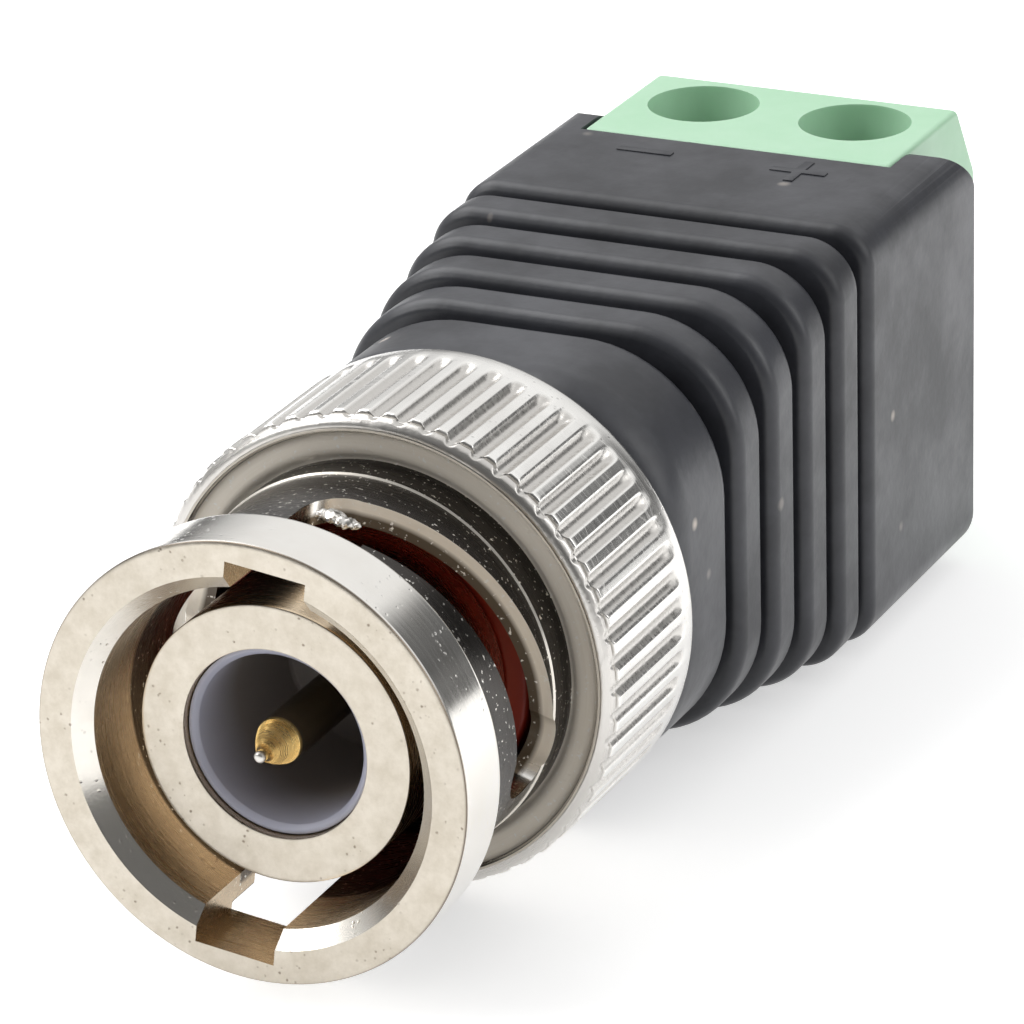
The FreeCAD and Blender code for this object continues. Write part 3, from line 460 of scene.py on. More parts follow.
def wear_group():
    group, entry, leave = new_group(
        "fine_wear", [("Pit Scale", 4200.0), ("Scratch Scale", 120.0)],
        [("Pits", "NodeSocketFloat"), ("Scratches", "NodeSocketFloat"), ("Clouds", "NodeSocketFloat")])
    place = group.nodes.new("ShaderNodeTexCoord")
    cells = group.nodes.new("ShaderNodeTexVoronoi")
    link(group, place.outputs["Object"], cells.inputs["Vector"])
    link(group, entry.outputs["Pit Scale"], cells.inputs["Scale"])
    cells.inputs["Randomness"].default_value = 1.0
    rare = noise(group, place.outputs["Object"], 700.0, detail=1.0)
    ragged = add(group, cells.outputs["Distance"],
                       multiply(group, noise(group, place.outputs["Object"], 16000.0), 0.22))
    near = stretch(group, ragged, 0.20, 0.34, 1.0, 0.0)
    pits = multiply(group, near, stretch(group, rare, 0.50, 0.60))
    link(group, pits, leave.inputs["Pits"])
    warp = group.nodes.new("ShaderNodeMapping")
    warp.inputs["Rotation"].default_value = (0.4, 0.7, 0.5)
    warp.inputs["Scale"].default_value = (1.0, 9.0, 2.0)
    link(group, place.outputs["Object"], warp.inputs["Vector"])
    lines = group.nodes.new("ShaderNodeTexNoise")
    lines.inputs["Detail"].default_value = 2.0
    link(group, warp.outputs["Vector"], lines.inputs["Vector"])
    link(group, entry.outputs["Scratch Scale"], lines.inputs["Scale"])
    centred = math_node(group, "ABSOLUTE", math_node(group, "SUBTRACT", lines.outputs["Fac"], 0.5))
    link(group, stretch(group, centred, 0.0, 0.010, 1.0, 0.0), leave.inputs["Scratches"])
    clouds = noise(group, place.outputs["Object"], 260.0, detail=4.0, roughness=0.6)
    link(group, clouds, leave.inputs["Clouds"])
    return group


FINE_WEAR = wear_group()
print("group", FINE_WEAR.name)

# %% [markdown]
# Metal is the Principled shader with Metallic at 1. Its colour drifts a little in clouds,
# its roughness follows the turning marks, and one Bump node joins marks, pits and
# scratches. Flat faces were faced off and look dull; turned walls are almost mirrors.
# %% Metal finishes


def new_material(name):
    material = bpy.data.materials.new(name)
    material.use_nodes = True
    return material, material.node_tree, material.node_tree.nodes["Principled BSDF"]


def use_group(tree, group, **inputs):
    item = tree.nodes.new("ShaderNodeGroup")
    item.node_tree = group
    for name, value in inputs.items():
        item.inputs[name.replace("_", " ")].default_value = value
    return item


def mix_colours(tree, share, first, second):
    """Mix two colours; each is a tuple or another node's output."""
    item = tree.nodes.new("ShaderNodeMix")
    item.data_type = "RGBA"
    if isinstance(share, (int, float)):
        item.inputs["Factor"].default_value = share
    else:
        link(tree, share, item.inputs["Factor"])
    for index, colour in ((6, first), (7, second)):
        if isinstance(colour, tuple):
            item.inputs[index].default_value = (*colour, 1)
        else:
            link(tree, colour, item.inputs[index])
    return item.outputs[2]


def bump(tree, target, height, strength, distance):
    """Let a height tilt the normal that goes into a socket."""
    item = tree.nodes.new("ShaderNodeBump")
    item.inputs["Strength"].default_value = strength
    item.inputs["Distance"].default_value = distance
    link(tree, height, item.inputs["Height"])
    link(tree, item.outputs["Normal"], target)
    return item


def plated_metal(name, light, dark, roughness, marks=0.5, pits=0.5, scratches=0.3,
                 fineness=1.0, bump_depth=0.00002, dull=None, dull_and_shade_colour=None, sparkle=0.0):
    """Plated metal with turning marks, pits and scratches.

    dull names a measure of the turned places and the two values between which the plating
    goes from bright to dull_and_shade_colour, which is painted shade on the pin behind its
    cone, and darker, rougher plating below radius 7.04 on the knurl, at the groove bottoms
    and the front cone; sparkle is how grainy that part is.
    """
    material, tree, surface = new_material(name)
    surface.inputs["Metallic"].default_value = 1.0
    turned = use_group(tree, TURNING_MARKS, Fineness=fineness)
    wear = use_group(tree, FINE_WEAR)
    cloud = stretch(tree, wear.outputs["Clouds"], 0.35, 0.65)
    colour = mix_colours(tree, cloud, light, dark)
    marks_seen, pits_seen, scratches_seen = (
        turned.outputs["Marks"], multiply(tree, wear.outputs["Pits"], pits), wear.outputs["Scratches"])
    colour = mix_colours(tree, pits_seen, colour, tuple(channel * 0.35 for channel in dark))
    low, high = roughness
    rough = stretch(tree, marks_seen, 0.3, 0.7, low, high)
    # On the pin this mix is painted shade behind the cone; on the knurl it darkens the groove bottoms
    if dull:
        measure, bright_at, dull_and_shade_at = dull
        places = use_group(tree, TURNED_PLACES)
        share = stretch(tree, places.outputs[measure], bright_at, dull_and_shade_at)
        colour = mix_colours(tree, share, colour, dull_and_shade_colour)
        rough = add(tree, rough, multiply(tree, share, 0.08))
    link(tree, colour, surface.inputs["Base Color"])
    rough = add(tree, rough, multiply(tree, scratches_seen, 0.12))
    link(tree, rough, surface.inputs["Roughness"])
    height = math_node(tree, "SUBTRACT", multiply(tree, marks_seen, marks), pits_seen)
    height = math_node(tree, "SUBTRACT", height, multiply(tree, scratches_seen, scratches))
    if sparkle:
        grains = noise(tree, object_place(tree), 5200.0, detail=2.0)
        height = add(tree, height, multiply(tree, grains, share, sparkle))
    bump(tree, surface.inputs["Normal"], height, 0.6, bump_depth)
    print("finish", name)
    return material


def turned_plating(name):
    """The nut's and the barrel's plating, which differs with the place on the turned piece.

    Outer walls are mirrors. Faces across the axis are champagne, dull and pitted. Walls deep
    inside have thin brown plating. The neck is painted near black as a painted dark reflection,
    and dusted with bright specks; the slot walls are painted dark brown as painted shade.
    """
    material, tree, surface = new_material(name)
    place = object_place(tree)
    places = use_group(tree, TURNED_PLACES)
    wear = use_group(tree, FINE_WEAR)
    radius, station, facing = (places.outputs[label] for label in ("Radius", "Station", "Facing"))
    marks, pits = use_group(tree, TURNING_MARKS).outputs["Marks"], wear.outputs["Pits"]
    # Masks for the kinds of surface: radii and stations are in millimetres
    faced = stretch(tree, facing, 0.55, 0.95)
    wall = stretch(tree, facing, 0.3, 0.5, 1.0, 0.0)
    inner = multiply(tree, wall, stretch(tree, radius, 6.20, 6.28, 1.0, 0.0))
    front = stretch(tree, station, 0.8, 1.0, 1.0, 0.0)
    behind_ring = multiply(tree, stretch(tree, station, 0.62, 0.72),
                           stretch(tree, station, 7.5, 8.0, 1.0, 0.0))
    dish = multiply(tree, faced, behind_ring)
    # Painted dark reflection: the neck's plating is painted near black
    neck = multiply(tree, behind_ring, wall, stretch(tree, radius, 5.57, 5.59),
                    stretch(tree, radius, 5.70, 5.80, 1.0, 0.0))
    # Painted shade: the slot walls inside the nut are painted dark brown where they lie in shadow
    painted_slot_shade = multiply(tree, stretch(tree, radius, 4.3, 4.6), stretch(tree, station, 1.0, 1.1),
                         stretch(tree, radius, 5.15, 5.32, 1.0, 0.0))
    at_rim = add(tree, stretch(tree, radius, 6.20, 6.25), stretch(tree, radius, 4.10, 4.15, 1.0, 0.0))
    rim = multiply(tree, stretch(tree, facing, 0.18, 0.30), stretch(tree, facing, 0.90, 0.97, 1.0, 0.0),
                   at_rim, stretch(tree, station, 0.3, 0.4, 1.0, 0.0))
    cloud = stretch(tree, wear.outputs["Clouds"], 0.35, 0.65)
    mottle = stretch(tree, noise(tree, place, 1700.0, detail=5.0, roughness=0.7), 0.35, 0.65)
    specks = stretch(tree, noise(tree, place, 7000.0, detail=3.0), 0.64, 0.70)
    colour = mix_colours(tree, cloud, (0.88, 0.86, 0.82), (0.80, 0.77, 0.72))
    for share, layer in (
            (faced, mix_colours(tree, mottle, (0.62, 0.57, 0.49), (0.52, 0.47, 0.39))),
            (dish, mix_colours(tree, marks, (0.96, 0.90, 0.80), (0.84, 0.76, 0.64))),
            (inner, mix_colours(tree, cloud, (0.80, 0.66, 0.48), (0.60, 0.48, 0.34))),
            # painted shade in the slots
            (painted_slot_shade, (0.10, 0.075, 0.05)),
            # painted dark reflection on the neck
            (neck, (0.045, 0.040, 0.036)),
            (rim, (0.16, 0.13, 0.10)),
            (multiply(tree, pits, faced, front, 0.8), (0.20, 0.16, 0.12)),
            (multiply(tree, behind_ring, specks), (0.95, 0.92, 0.86))):
        colour = mix_colours(tree, share, colour, layer)
    link(tree, colour, surface.inputs["Base Color"])
    link(tree, stretch(tree, dish, 0.0, 1.0, 1.0, 0.15), surface.inputs["Metallic"])
    level = tree.nodes.new("ShaderNodeMix")
    link(tree, faced, level.inputs["Factor"])
    link(tree, stretch(tree, marks, 0.3, 0.7, 0.10, 0.18), level.inputs[2])
    dull = stretch(tree, wear.outputs["Clouds"], 0.3, 0.7, 0.30, 0.42)
    link(tree, add(tree, dull, multiply(tree, behind_ring, 0.04)), level.inputs[3])
    rough = add(tree, level.outputs[0], multiply(tree, add(tree, inner, rim), 0.12))
    link(tree, rough, surface.inputs["Roughness"])
    rings = multiply(tree, marks, add(tree, multiply(tree, inner, 1.2), 0.25))
    grain = multiply(tree, noise(tree, place, 9000.0, detail=2.0), faced, 0.8)
    height = math_node(tree, "SUBTRACT", add(tree, rings, grain), multiply(tree, pits, 1.4))
    fine = bump(tree, surface.inputs["Normal"], height, 0.6, 0.000007)
    bump(tree, fine.inputs["Normal"], noise(tree, place, 650.0, detail=1.0), 0.5, 0.00002)
    print("finish", name)
    return material


turned_nickel = turned_plating("turned_nickel")
# Below radius 7.04 the knurl's plating is darker, rougher and grainy: groove bottoms and front cone
knurl_nickel = plated_metal("knurl_nickel", (0.92, 0.91, 0.88), (0.80, 0.78, 0.75), (0.16, 0.28),
                            marks=0.0, pits=0.35, scratches=0.10, bump_depth=0.000010,
                            dull=("Radius", 7.04, 6.99), dull_and_shade_colour=(0.62, 0.60, 0.57), sparkle=1.5)
# Behind its cone, from station 0.26 to 0.36 on, the pin is painted dark brown: painted shade of the
# bore
gold_plate = plated_metal("gold_plate", (0.95, 0.68, 0.26), (0.60, 0.39, 0.14), (0.20, 0.36),
                          marks=1.4, pits=0.2, fineness=1.4, bump_depth=0.000008,
                          dull=("Station", 0.26, 0.36), dull_and_shade_colour=(0.16, 0.12, 0.07))
winding_copper = plated_metal("winding_copper", (0.72, 0.34, 0.16), (0.52, 0.22, 0.09), (0.24, 0.40))
bright_steel = plated_metal("bright_steel", (0.72, 0.72, 0.71), (0.60, 0.60, 0.60), (0.20, 0.34))
zinc_plate = plated_metal("zinc_plate", (0.80, 0.80, 0.80), (0.66, 0.66, 0.68), (0.22, 0.38))
tin_plate = plated_metal("tin_plate", (0.78, 0.76, 0.72), (0.66, 0.64, 0.60), (0.30, 0.45), marks=0.1)

# %% [markdown]
# The plastics are moulded. Black ABS has a fine grain, rubbed paler patches and specks of
# dust; the green block is smoother and lets a little light in; the liner is a waxy,
# bluish white with painted shade: it is painted grey-brown deeper in the bore, where the
# light doesn't reach.
# %% Plastic finishes


def grain_group():
    group, entry, leave = new_group(
        "moulded_grain", [("Grain Scale", 2600.0), ("Dust Scale", 420.0)],
        [("Grain", "NodeSocketFloat"), ("Dust", "NodeSocketFloat"), ("Rubbed", "NodeSocketFloat")])
    place = group.nodes.new("ShaderNodeTexCoord")
    fine = group.nodes.new("ShaderNodeTexNoise")
    fine.inputs["Detail"].default_value = 3.0
    link(group, place.outputs["Object"], fine.inputs["Vector"])
    link(group, entry.outputs["Grain Scale"], fine.inputs["Scale"])
    link(group, fine.outputs["Fac"], leave.inputs["Grain"])
    cells = group.nodes.new("ShaderNodeTexVoronoi")
    link(group, place.outputs["Object"], cells.inputs["Vector"])
    link(group, entry.outputs["Dust Scale"], cells.inputs["Scale"])
    rare = noise(group, place.outputs["Object"], 160.0, detail=1.0)
    near = stretch(group, cells.outputs["Distance"], 0.04, 0.10, 1.0, 0.0)
    link(group, multiply(group, near, stretch(group, rare, 0.50, 0.60)), leave.inputs["Dust"])
    link(group, noise(group, place.outputs["Object"], 210.0, detail=5.0, roughness=0.65),
         leave.inputs["Rubbed"])
    return group


MOULDED_GRAIN = grain_group()


def moulded_plastic(name, colour, rubbed_colour, roughness, dust=0.0, grain=0.4, subsurface=0.0,
                    specular=0.5, deep=None):
    """Moulded plastic with a fine grain, rubbed patches and a little dust.

    deep is a second colour, painted shade, for what lies behind station 0.5, inside the barrel.
    """
    material, tree, surface = new_material(name)
    faults = use_group(tree, MOULDED_GRAIN)
    rubbed = stretch(tree, faults.outputs["Rubbed"], 0.40, 0.66)
    base = mix_colours(tree, rubbed, colour, rubbed_colour)
    # Painted shade: deeper into the bore the colour goes over to deep
    if deep:
        places = use_group(tree, TURNED_PLACES)
        inside = stretch(tree, places.outputs["Station"], 0.42, 2.6, 0.15, 1.0)
        base = mix_colours(tree, inside, base, deep)
    if dust:
        share = multiply(tree, faults.outputs["Dust"], dust)
        base = mix_colours(tree, share, base, (0.62, 0.55, 0.48))
    link(tree, base, surface.inputs["Base Color"])
    low, high = roughness
    link(tree, stretch(tree, faults.outputs["Rubbed"], 0.35, 0.65, high, low),
                   surface.inputs["Roughness"])
    surface.inputs["Specular IOR Level"].default_value = specular
    if subsurface:
        surface.inputs["Subsurface Weight"].default_value = subsurface
        surface.inputs["Subsurface Radius"].default_value = (0.8, 1.0, 0.8)
        surface.inputs["Subsurface Scale"].default_value = 0.0006
    bump(tree, surface.inputs["Normal"], faults.outputs["Grain"], grain, 0.00002)
    print("finish", name)
    return material


black_shell = moulded_plastic("black_shell", (0.021, 0.022, 0.027), (0.048, 0.050, 0.059),
                              (0.32, 0.46), dust=0.9, grain=0.5)
green_block = moulded_plastic("green_block", (0.42, 0.68, 0.47), (0.47, 0.72, 0.52), (0.32, 0.44),
                              grain=0.2, subsurface=0.15)
# The liner's deep colour is painted shade inside the bore
white_liner = moulded_plastic("white_liner", (0.50, 0.52, 0.65), (0.55, 0.57, 0.70), (0.36, 0.46),
                              grain=0.15, deep=(0.30, 0.265, 0.24))
red_silicone = moulded_plastic("red_silicone", (0.22, 0.018, 0.008), (0.30, 0.028, 0.012), (0.30, 0.42),
                               grain=0.2, specular=0.3)
board_laminate = moulded_plastic("board_laminate", (0.02, 0.16, 0.06), (0.03, 0.20, 0.08), (0.25, 0.35))
ferrite_dark = moulded_plastic("ferrite_dark", (0.05, 0.05, 0.055), (0.08, 0.08, 0.085), (0.55, 0.75),
                               grain=0.9)
ceramic_tan = moulded_plastic("ceramic_tan", (0.38, 0.24, 0.14), (0.44, 0.30, 0.18), (0.35, 0.5))

# %% [markdown]
# The coupling nut is spun in two parts that meet inside the collar: a smooth shell with the
# ring, the neck and the dished face, and the knurled band. The two notches and the two
# helical slots are cut out of the shell. A slot is a rectangle spun about the axis with a
# step forward at each turn, which is how a cutter makes it.
# %% Coupling nut shell
NUT_FRONT = -1.45
NUT_REAR = 11.75
NUT_TURN = math.radians(7.3)
LUG_STATION = 2.9
LUG_TRAVEL = 1.65
LUG_TURN = math.radians(97)
COLLAR_FACE = 6.3
# The hollow face between the neck and the rim: deepest at the neck, then nearly flat
DISH = ((5.65, 6.62), (5.70, 6.61), (5.77, 6.57), (5.84, 6.53), (5.92, 6.50), (6.02, 6.49),
        (6.20, 6.49), (6.36, 6.49), (6.46, 6.47), (6.53, 6.41), (6.56, 6.32))


def slot_cutter(half_turn):
    """Notch, helical slot and round seat for one lug."""
    notch = block((-1.18, NUT_FRONT - 1, 3.0), (1.18, LUG_STATION, 5.68))
    end = rod(1.18, (0, LUG_STATION, 3.0), (0, LUG_STATION, 5.68))
    ramp = bmesh.new()
    corners = [ramp.verts.new((0, station, radius)) for station, radius in
               ((LUG_STATION - 1.15, 4.4), (LUG_STATION + 1.15, 4.4),
                (LUG_STATION + 1.15, 6.0), (LUG_STATION - 1.15, 6.0))]
    face = ramp.faces.new(corners)
    steps = 64
    bmesh.ops.spin(ramp, geom=corners + list(face.edges) + [face], cent=(0, 0, 0), axis=AXIS,
                   dvec=(0, LUG_TRAVEL / steps, 0), angle=LUG_TURN, steps=steps)
    bmesh.ops.recalc_face_normals(ramp, faces=ramp.faces)
    way = Vector((math.sin(LUG_TURN), 0, math.cos(LUG_TURN)))
    forward = Vector((0, LUG_STATION + LUG_TRAVEL, 0))
    seat = rod(1.25, way * 3.0 + forward, way * 6.0 + forward)
    for part in (notch, end, ramp, seat):
        bmesh.ops.rotate(part, cent=(0, 0, 0), matrix=Matrix.Rotation(half_turn + NUT_TURN, 3, "Y"),
                         verts=part.verts)
    return notch, end, ramp, seat


def make_nut_shell():
    profile = [(5.35, NUT_FRONT), (5.50, NUT_FRONT), (6.20, NUT_FRONT), (6.35, NUT_FRONT),
               (6.35, NUT_FRONT + 0.14), (6.35, 0.51), (6.35, 0.65), (6.20, 0.65), (5.6, 0.65),
               (5.6, 5.55), (5.65, 5.60), *DISH]
    profile += [(6.58, COLLAR_FACE), (6.64, COLLAR_FACE), (6.64, NUT_REAR - 0.1),
                (5.5, NUT_REAR - 0.1), (5.5, 10.42), (3.85, 10.42), (3.85, 9.32), (4.9, 9.32),
                (4.9, -1.0)]
    shell = soften(spun(profile, steps=240), 0.085, degrees=60,
                   where=lambda edge: edge.verts[0].co.y < 0.8)
    shell = carve(shell, *slot_cutter(0.0), *slot_cutter(math.pi))
    bmesh.ops.dissolve_degenerate(shell, dist=0.01, edges=shell.edges)
    return shell


def make_plating_bead():
    """A lump of plating left on the edge of the upper notch."""
    bm = bmesh.new()
    for along, across, out, size in ((-0.34, 0.08, 5.60, 0.24), (-0.05, 0.02, 5.64, 0.30),
                                     (0.26, -0.08, 5.62, 0.27), (0.50, 0.06, 5.56, 0.20)):
        turn_by = math.radians(7.0) + along / 5.6
        lump = bmesh.ops.create_icosphere(bm, subdivisions=3, radius=size)["verts"]
        bmesh.ops.scale(bm, vec=(1.15, 0.85, 0.55), verts=lump)
        bmesh.ops.rotate(bm, cent=(0, 0, 0), matrix=Matrix.Rotation(turn_by, 3, "Y"), verts=lump)
        bmesh.ops.translate(bm, verts=lump,
                            vec=(out * math.sin(turn_by), 2.72 + across, out * math.cos(turn_by)))
    for vert in bm.verts:
        vert.co += 0.03 * Vector((math.sin(vert.co.y * 37), math.sin(vert.co.x * 41),
                                  math.sin(vert.co.x * 29)))
    return bm


nut_shell = finish_piece(make_nut_shell(), "nut_shell", "nut", turned_nickel,
                         replaced=("coupling_nut",))
plating_bead = finish_piece(make_plating_bead(), "plating_bead", "nut", knurl_nickel,
                            smooth=60)

# %% [markdown]
# The knurled band has straight grooves with rounded ends, open at the front rim. The band
# is spun with many steps, and each vertex of its outer wall then sinks by the depth of the
# groove that it lies in, so one smooth mesh carries all the grooves.
# %% Knurled band
KNURL_COUNT = 56
COLLAR_RADIUS = 7.05
GROOVE_REAR = NUT_REAR - 0.55


def groove_depth(angle, station):
    """How deep the knurl is at a place; each groove differs a little, as rolled grooves do."""
    pitch = FULL_TURN / KNURL_COUNT
    number = round(angle / pitch)
    wander = math.sin(number * 12.9898) * 0.5 + math.sin(number * 78.233) * 0.5
    offset = abs(angle / pitch - number + 0.02 * wander) * pitch * COLLAR_RADIUS
    reach = min(1.0, offset / 0.25)
    fade = min(1.0, max(0.0, (GROOVE_REAR - station - 0.08 * wander) / 0.6))
    return (0.16 + 0.03 * wander) * (1 - reach ** 2) * fade * fade * (3 - 2 * fade)


def make_knurled_band():
    profile = [(6.62, COLLAR_FACE + 0.02), (6.65, COLLAR_FACE)]
    for step in range(1, 15):
        angle = step / 15 * math.pi / 2
        profile.append((6.65 + 0.33 * math.sin(angle), COLLAR_FACE + 0.32 * (1 - math.cos(angle))))
    profile += [(6.93, 6.60), (6.87, 6.64), (6.88, 6.68), (6.96, 6.70), (7.01, 6.71), (7.04, 6.73)]
    profile += [(COLLAR_RADIUS, station) for station in (6.76, 6.9, 7.2, 7.6, 8.4, 9.2, 9.8)]
    profile += [(COLLAR_RADIUS, GROOVE_REAR - 0.95 + 0.08 * step) for step in range(13)]
    profile += [(COLLAR_RADIUS, NUT_REAR - 0.16), (7.02, NUT_REAR - 0.06), (6.94, NUT_REAR),
                (6.5, NUT_REAR), (6.5, COLLAR_FACE + 0.3)]
    band = spun(profile, steps=KNURL_COUNT * 16)
    for vert in band.verts:
        radius = math.hypot(vert.co.x, vert.co.z)
        floor = COLLAR_RADIUS - groove_depth(math.atan2(vert.co.x, vert.co.z), vert.co.y)
        if radius > floor and vert.co.y < NUT_REAR - 0.3:
            vert.co.x *= floor / radius
            vert.co.z *= floor / radius
    return band


knurled_band = finish_piece(make_knurled_band(), "knurled_band", "nut", knurl_nickel,
                            smooth=50)

# %% [markdown]
# A wave washer between the plug's flange and the thrust washer pulls the nut back when it
# is let go. It is a thin flat ring that is spun and then bent into three waves. It presses
# flat as the nut is drawn forward.
# %% Wave washer
SPRING_SHEET = 0.2
SPRING_WIDTH = 0.75
SPRING_WAVES = 3


def make_spring_ring():
    low, high = (Vector(corner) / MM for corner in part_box("wave_washer"))
    middle, rise = (low.y + high.y) / 2, (high.y - low.y - SPRING_SHEET) / 2
    outside, inside = high.x, high.x - SPRING_WIDTH
    section = [(inside, -SPRING_SHEET / 2), (outside, -SPRING_SHEET / 2),
               (outside, SPRING_SHEET / 2), (inside, SPRING_SHEET / 2)]
    bm = soften(spun(section), 0.03)
    for vert in bm.verts:
        vert.co.y += middle + rise * math.cos(SPRING_WAVES * math.atan2(vert.co.z, vert.co.x))
    return bm


spring_ring = finish_piece(make_spring_ring(), "spring_ring", "plug", bright_steel,
                           replaced=("wave_washer",))
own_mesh(spring_ring)

# %% [markdown]
# The plug's body is one spun profile: a plain barrel, a groove for the gasket, a flange,
# the sleeve that the nut turns on, and a shank with grip grooves inside the housing.
# %% Barrel, gasket, liner and pin
BARREL_RADIUS = 4.0
BARREL_BORE = 2.725
SLEEVE_RADIUS = 3.8
FLANGE_REAR = 8.15


def make_plug_body():
    profile = [(BARREL_BORE, 0), (2.85, 0), (3.9, 0), (BARREL_RADIUS, 0), (BARREL_RADIUS, 0.12),
               (BARREL_RADIUS, 5.9), (SLEEVE_RADIUS, 5.9), (SLEEVE_RADIUS, 6.95), (4.85, 6.95),
               (4.85, FLANGE_REAR), (SLEEVE_RADIUS, FLANGE_REAR), (SLEEVE_RADIUS, 10.42),
               (3.4, 10.42), (3.4, 11.08), (SLEEVE_RADIUS, 11.08)]
    for station in (13.3, 14.5):
        profile += [(SLEEVE_RADIUS, station), (3.5, station), (3.5, station + 0.6),
                    (SLEEVE_RADIUS, station + 0.6)]
    profile += [(SLEEVE_RADIUS, 16.0), (2.225, 16.0), (2.225, FLANGE_REAR), (BARREL_BORE, FLANGE_REAR)]
    return soften(spun(profile), 0.035)


def make_liner():
    profile = [(2.58, 0.25), (2.70, 0.25), (2.70, 8.13), (1.17, 8.13), (1.17, 7.63), (0.87, 7.63),
               (0.87, 5.65), (2.36, 5.65), (2.45, 5.55), (2.45, 0.38)]
    return soften(spun(profile), 0.03)


def make_pin():
    """The gold pin: a short cone with the lathe's rings on it, then a plain shaft."""
    profile = [(0, -0.70), (0.17, -0.70), (0.20, -0.60)]
    cone = ((0.26, -0.52), (0.35, -0.40), (0.49, -0.14), (0.58, 0.06), (0.65, 0.26))
    for (inner, start), (outer, end) in zip(cone, cone[1:]):
        for ring in range(5):
            radius = inner + (outer - inner) * ring / 5
            station = start + (end - start) * ring / 5
            profile += [(radius, station), (radius + 0.012, station + 0.006)]
    profile += [(0.66, 0.28), (0.675, 0.35),
                (0.675, 5.6), (0.85, 5.6), (0.85, 7.65), (1.15, 7.65), (1.15, 8.65), (0.5, 8.65),
                (0.5, 17.5), (0.3, 17.5), (0.3, 15.9), (0, 15.9)]
    return spun(profile, steps=96)


def make_pin_tip():
    """The bright nub that the cut-off tool leaves at the pin's end."""
    return spun([(0, -0.95), (0.07, -0.945), (0.13, -0.92), (0.165, -0.87), (0.17, -0.82),
                 (0.14, -0.76), (0.13, -0.66), (0, -0.66)], steps=48)


def make_gasket():
    profile = [(3.82, 5.95), (4.65, 5.95), (4.65, 6.93), (3.82, 6.93)]
    return soften(spun(profile), 0.18, segments=4)


barrel = finish_piece(make_plug_body(), "barrel", "plug", turned_nickel,
                      replaced=("plug_body",))
liner = finish_piece(make_liner(), "liner", "plug", white_liner,
                     replaced=("front_insulator",))
pin = finish_piece(make_pin(), "contact_pin", "plug", gold_plate,
                   replaced=("centre_pin",), smooth=24)
pin_tip = finish_piece(make_pin_tip(), "pin_tip", "plug", tin_plate, smooth=60)
seal = finish_piece(make_gasket(), "seal_ring", "plug", red_silicone,
                    replaced=("gasket",))

# %% [markdown]
# The housing grows from a round front to a square box. It is drawn out ring by ring: an
# edge loop is extruded and its vertices are set on a rounded square whose half width and
# corner radius change along the axis. Grooves and rounded ribs are more rings.
# %% Housing body
SHELL_FRONT = 12.1
LAND_REAR = 16.3
RIB_PITCH = 2.21
GROOVE = 0.52
BOX_FRONT = LAND_REAR + 4 * RIB_PITCH + GROOVE
TAPER_LENGTH = 4 * RIB_PITCH + GROOVE + 1.0
SHELL_REAR = 34.35
BOX_HALF = 6.7
BAY_FRONT = 31.25
# Rounding of the side walls' rear corners, and of the ribs: how far an edge falls, and its run
TAIL_TOP, TAIL_BOTTOM = 2.1, 1.05
EDGE_DROP, EDGE_RUN = 0.36, 0.44
CORNER_STEPS = 16
SIDE_STEPS = 6


def shell_section(share):
    """Half width and corner radius along the ribbed stretch, from front (0) to rear (1)."""
    return 6.175 + 0.525 * share, 4.3 - 3.0 * share


def square_ring(half, corner, station):
    """Places round a rounded square, anticlockwise seen from the front."""
    places = []
    flat = half - corner
    for quarter in range(4):
        turn_by = quarter * math.pi / 2
        for step in range(CORNER_STEPS):
            angle = step / CORNER_STEPS * math.pi / 2
            x, z = flat + corner * math.cos(angle), flat + corner * math.sin(angle)
            places.append((x, z, turn_by))
        for step in range(SIDE_STEPS):
            places.append((flat - 2 * flat * step / SIDE_STEPS, half, turn_by))
    return [Vector((x * math.cos(t) - z * math.sin(t), station, x * math.sin(t) + z * math.cos(t)))
            for x, z, t in places]


def rounded_step(half, corner, station, radius, rising, steps=6, run=None):
    """Rings over a rounded edge: half widths grow when rising and shrink when not.

    radius is how far the edge falls away, and run how long it is along the axis.
    """
    run = run or radius
    rings = []
    for step in range(steps + 1):
        angle = step / steps * math.pi / 2
        if rising:
            inset = radius * (1 - math.sin(angle))
            place = station + run * (1 - math.cos(angle))
        else:
            inset = radius * (1 - math.cos(angle))
            place = station - run * (1 - math.sin(angle))
        rings.append((half - inset, max(corner - inset, 0.3), place))
    return rings


def housing_rings():
    half, corner = shell_section(0)
    rings = rounded_step(half, corner, SHELL_FRONT, 0.95, True, 12, run=1.5)
    rings += rounded_step(half, corner, LAND_REAR, EDGE_DROP, False, run=EDGE_RUN)
    rings.append((half - 0.5, corner - 0.5, LAND_REAR + 0.02))
    for index in range(4):
        start = LAND_REAR + GROOVE + index * RIB_PITCH
        rings.append((half - 0.5, corner - 0.5, start - 0.02))
        half, corner = shell_section(((index + 1) * RIB_PITCH + 0.5) / TAPER_LENGTH)
        rings += rounded_step(half, corner, start, EDGE_DROP, True, run=EDGE_RUN)
        rings += rounded_step(half, corner, start + RIB_PITCH - GROOVE, EDGE_DROP, False, run=EDGE_RUN)
        rings.append((half - 0.5, corner - 0.5, start + RIB_PITCH - GROOVE + 0.02))
    rings.append((half - 0.5, corner - 0.5, BOX_FRONT - 0.02))
    half, corner = shell_section(1)
    rings += rounded_step(half, corner, BOX_FRONT, EDGE_DROP, True, run=EDGE_RUN)
    rings += rounded_step(half, corner, SHELL_REAR, 0.15, False, 3)
    return rings


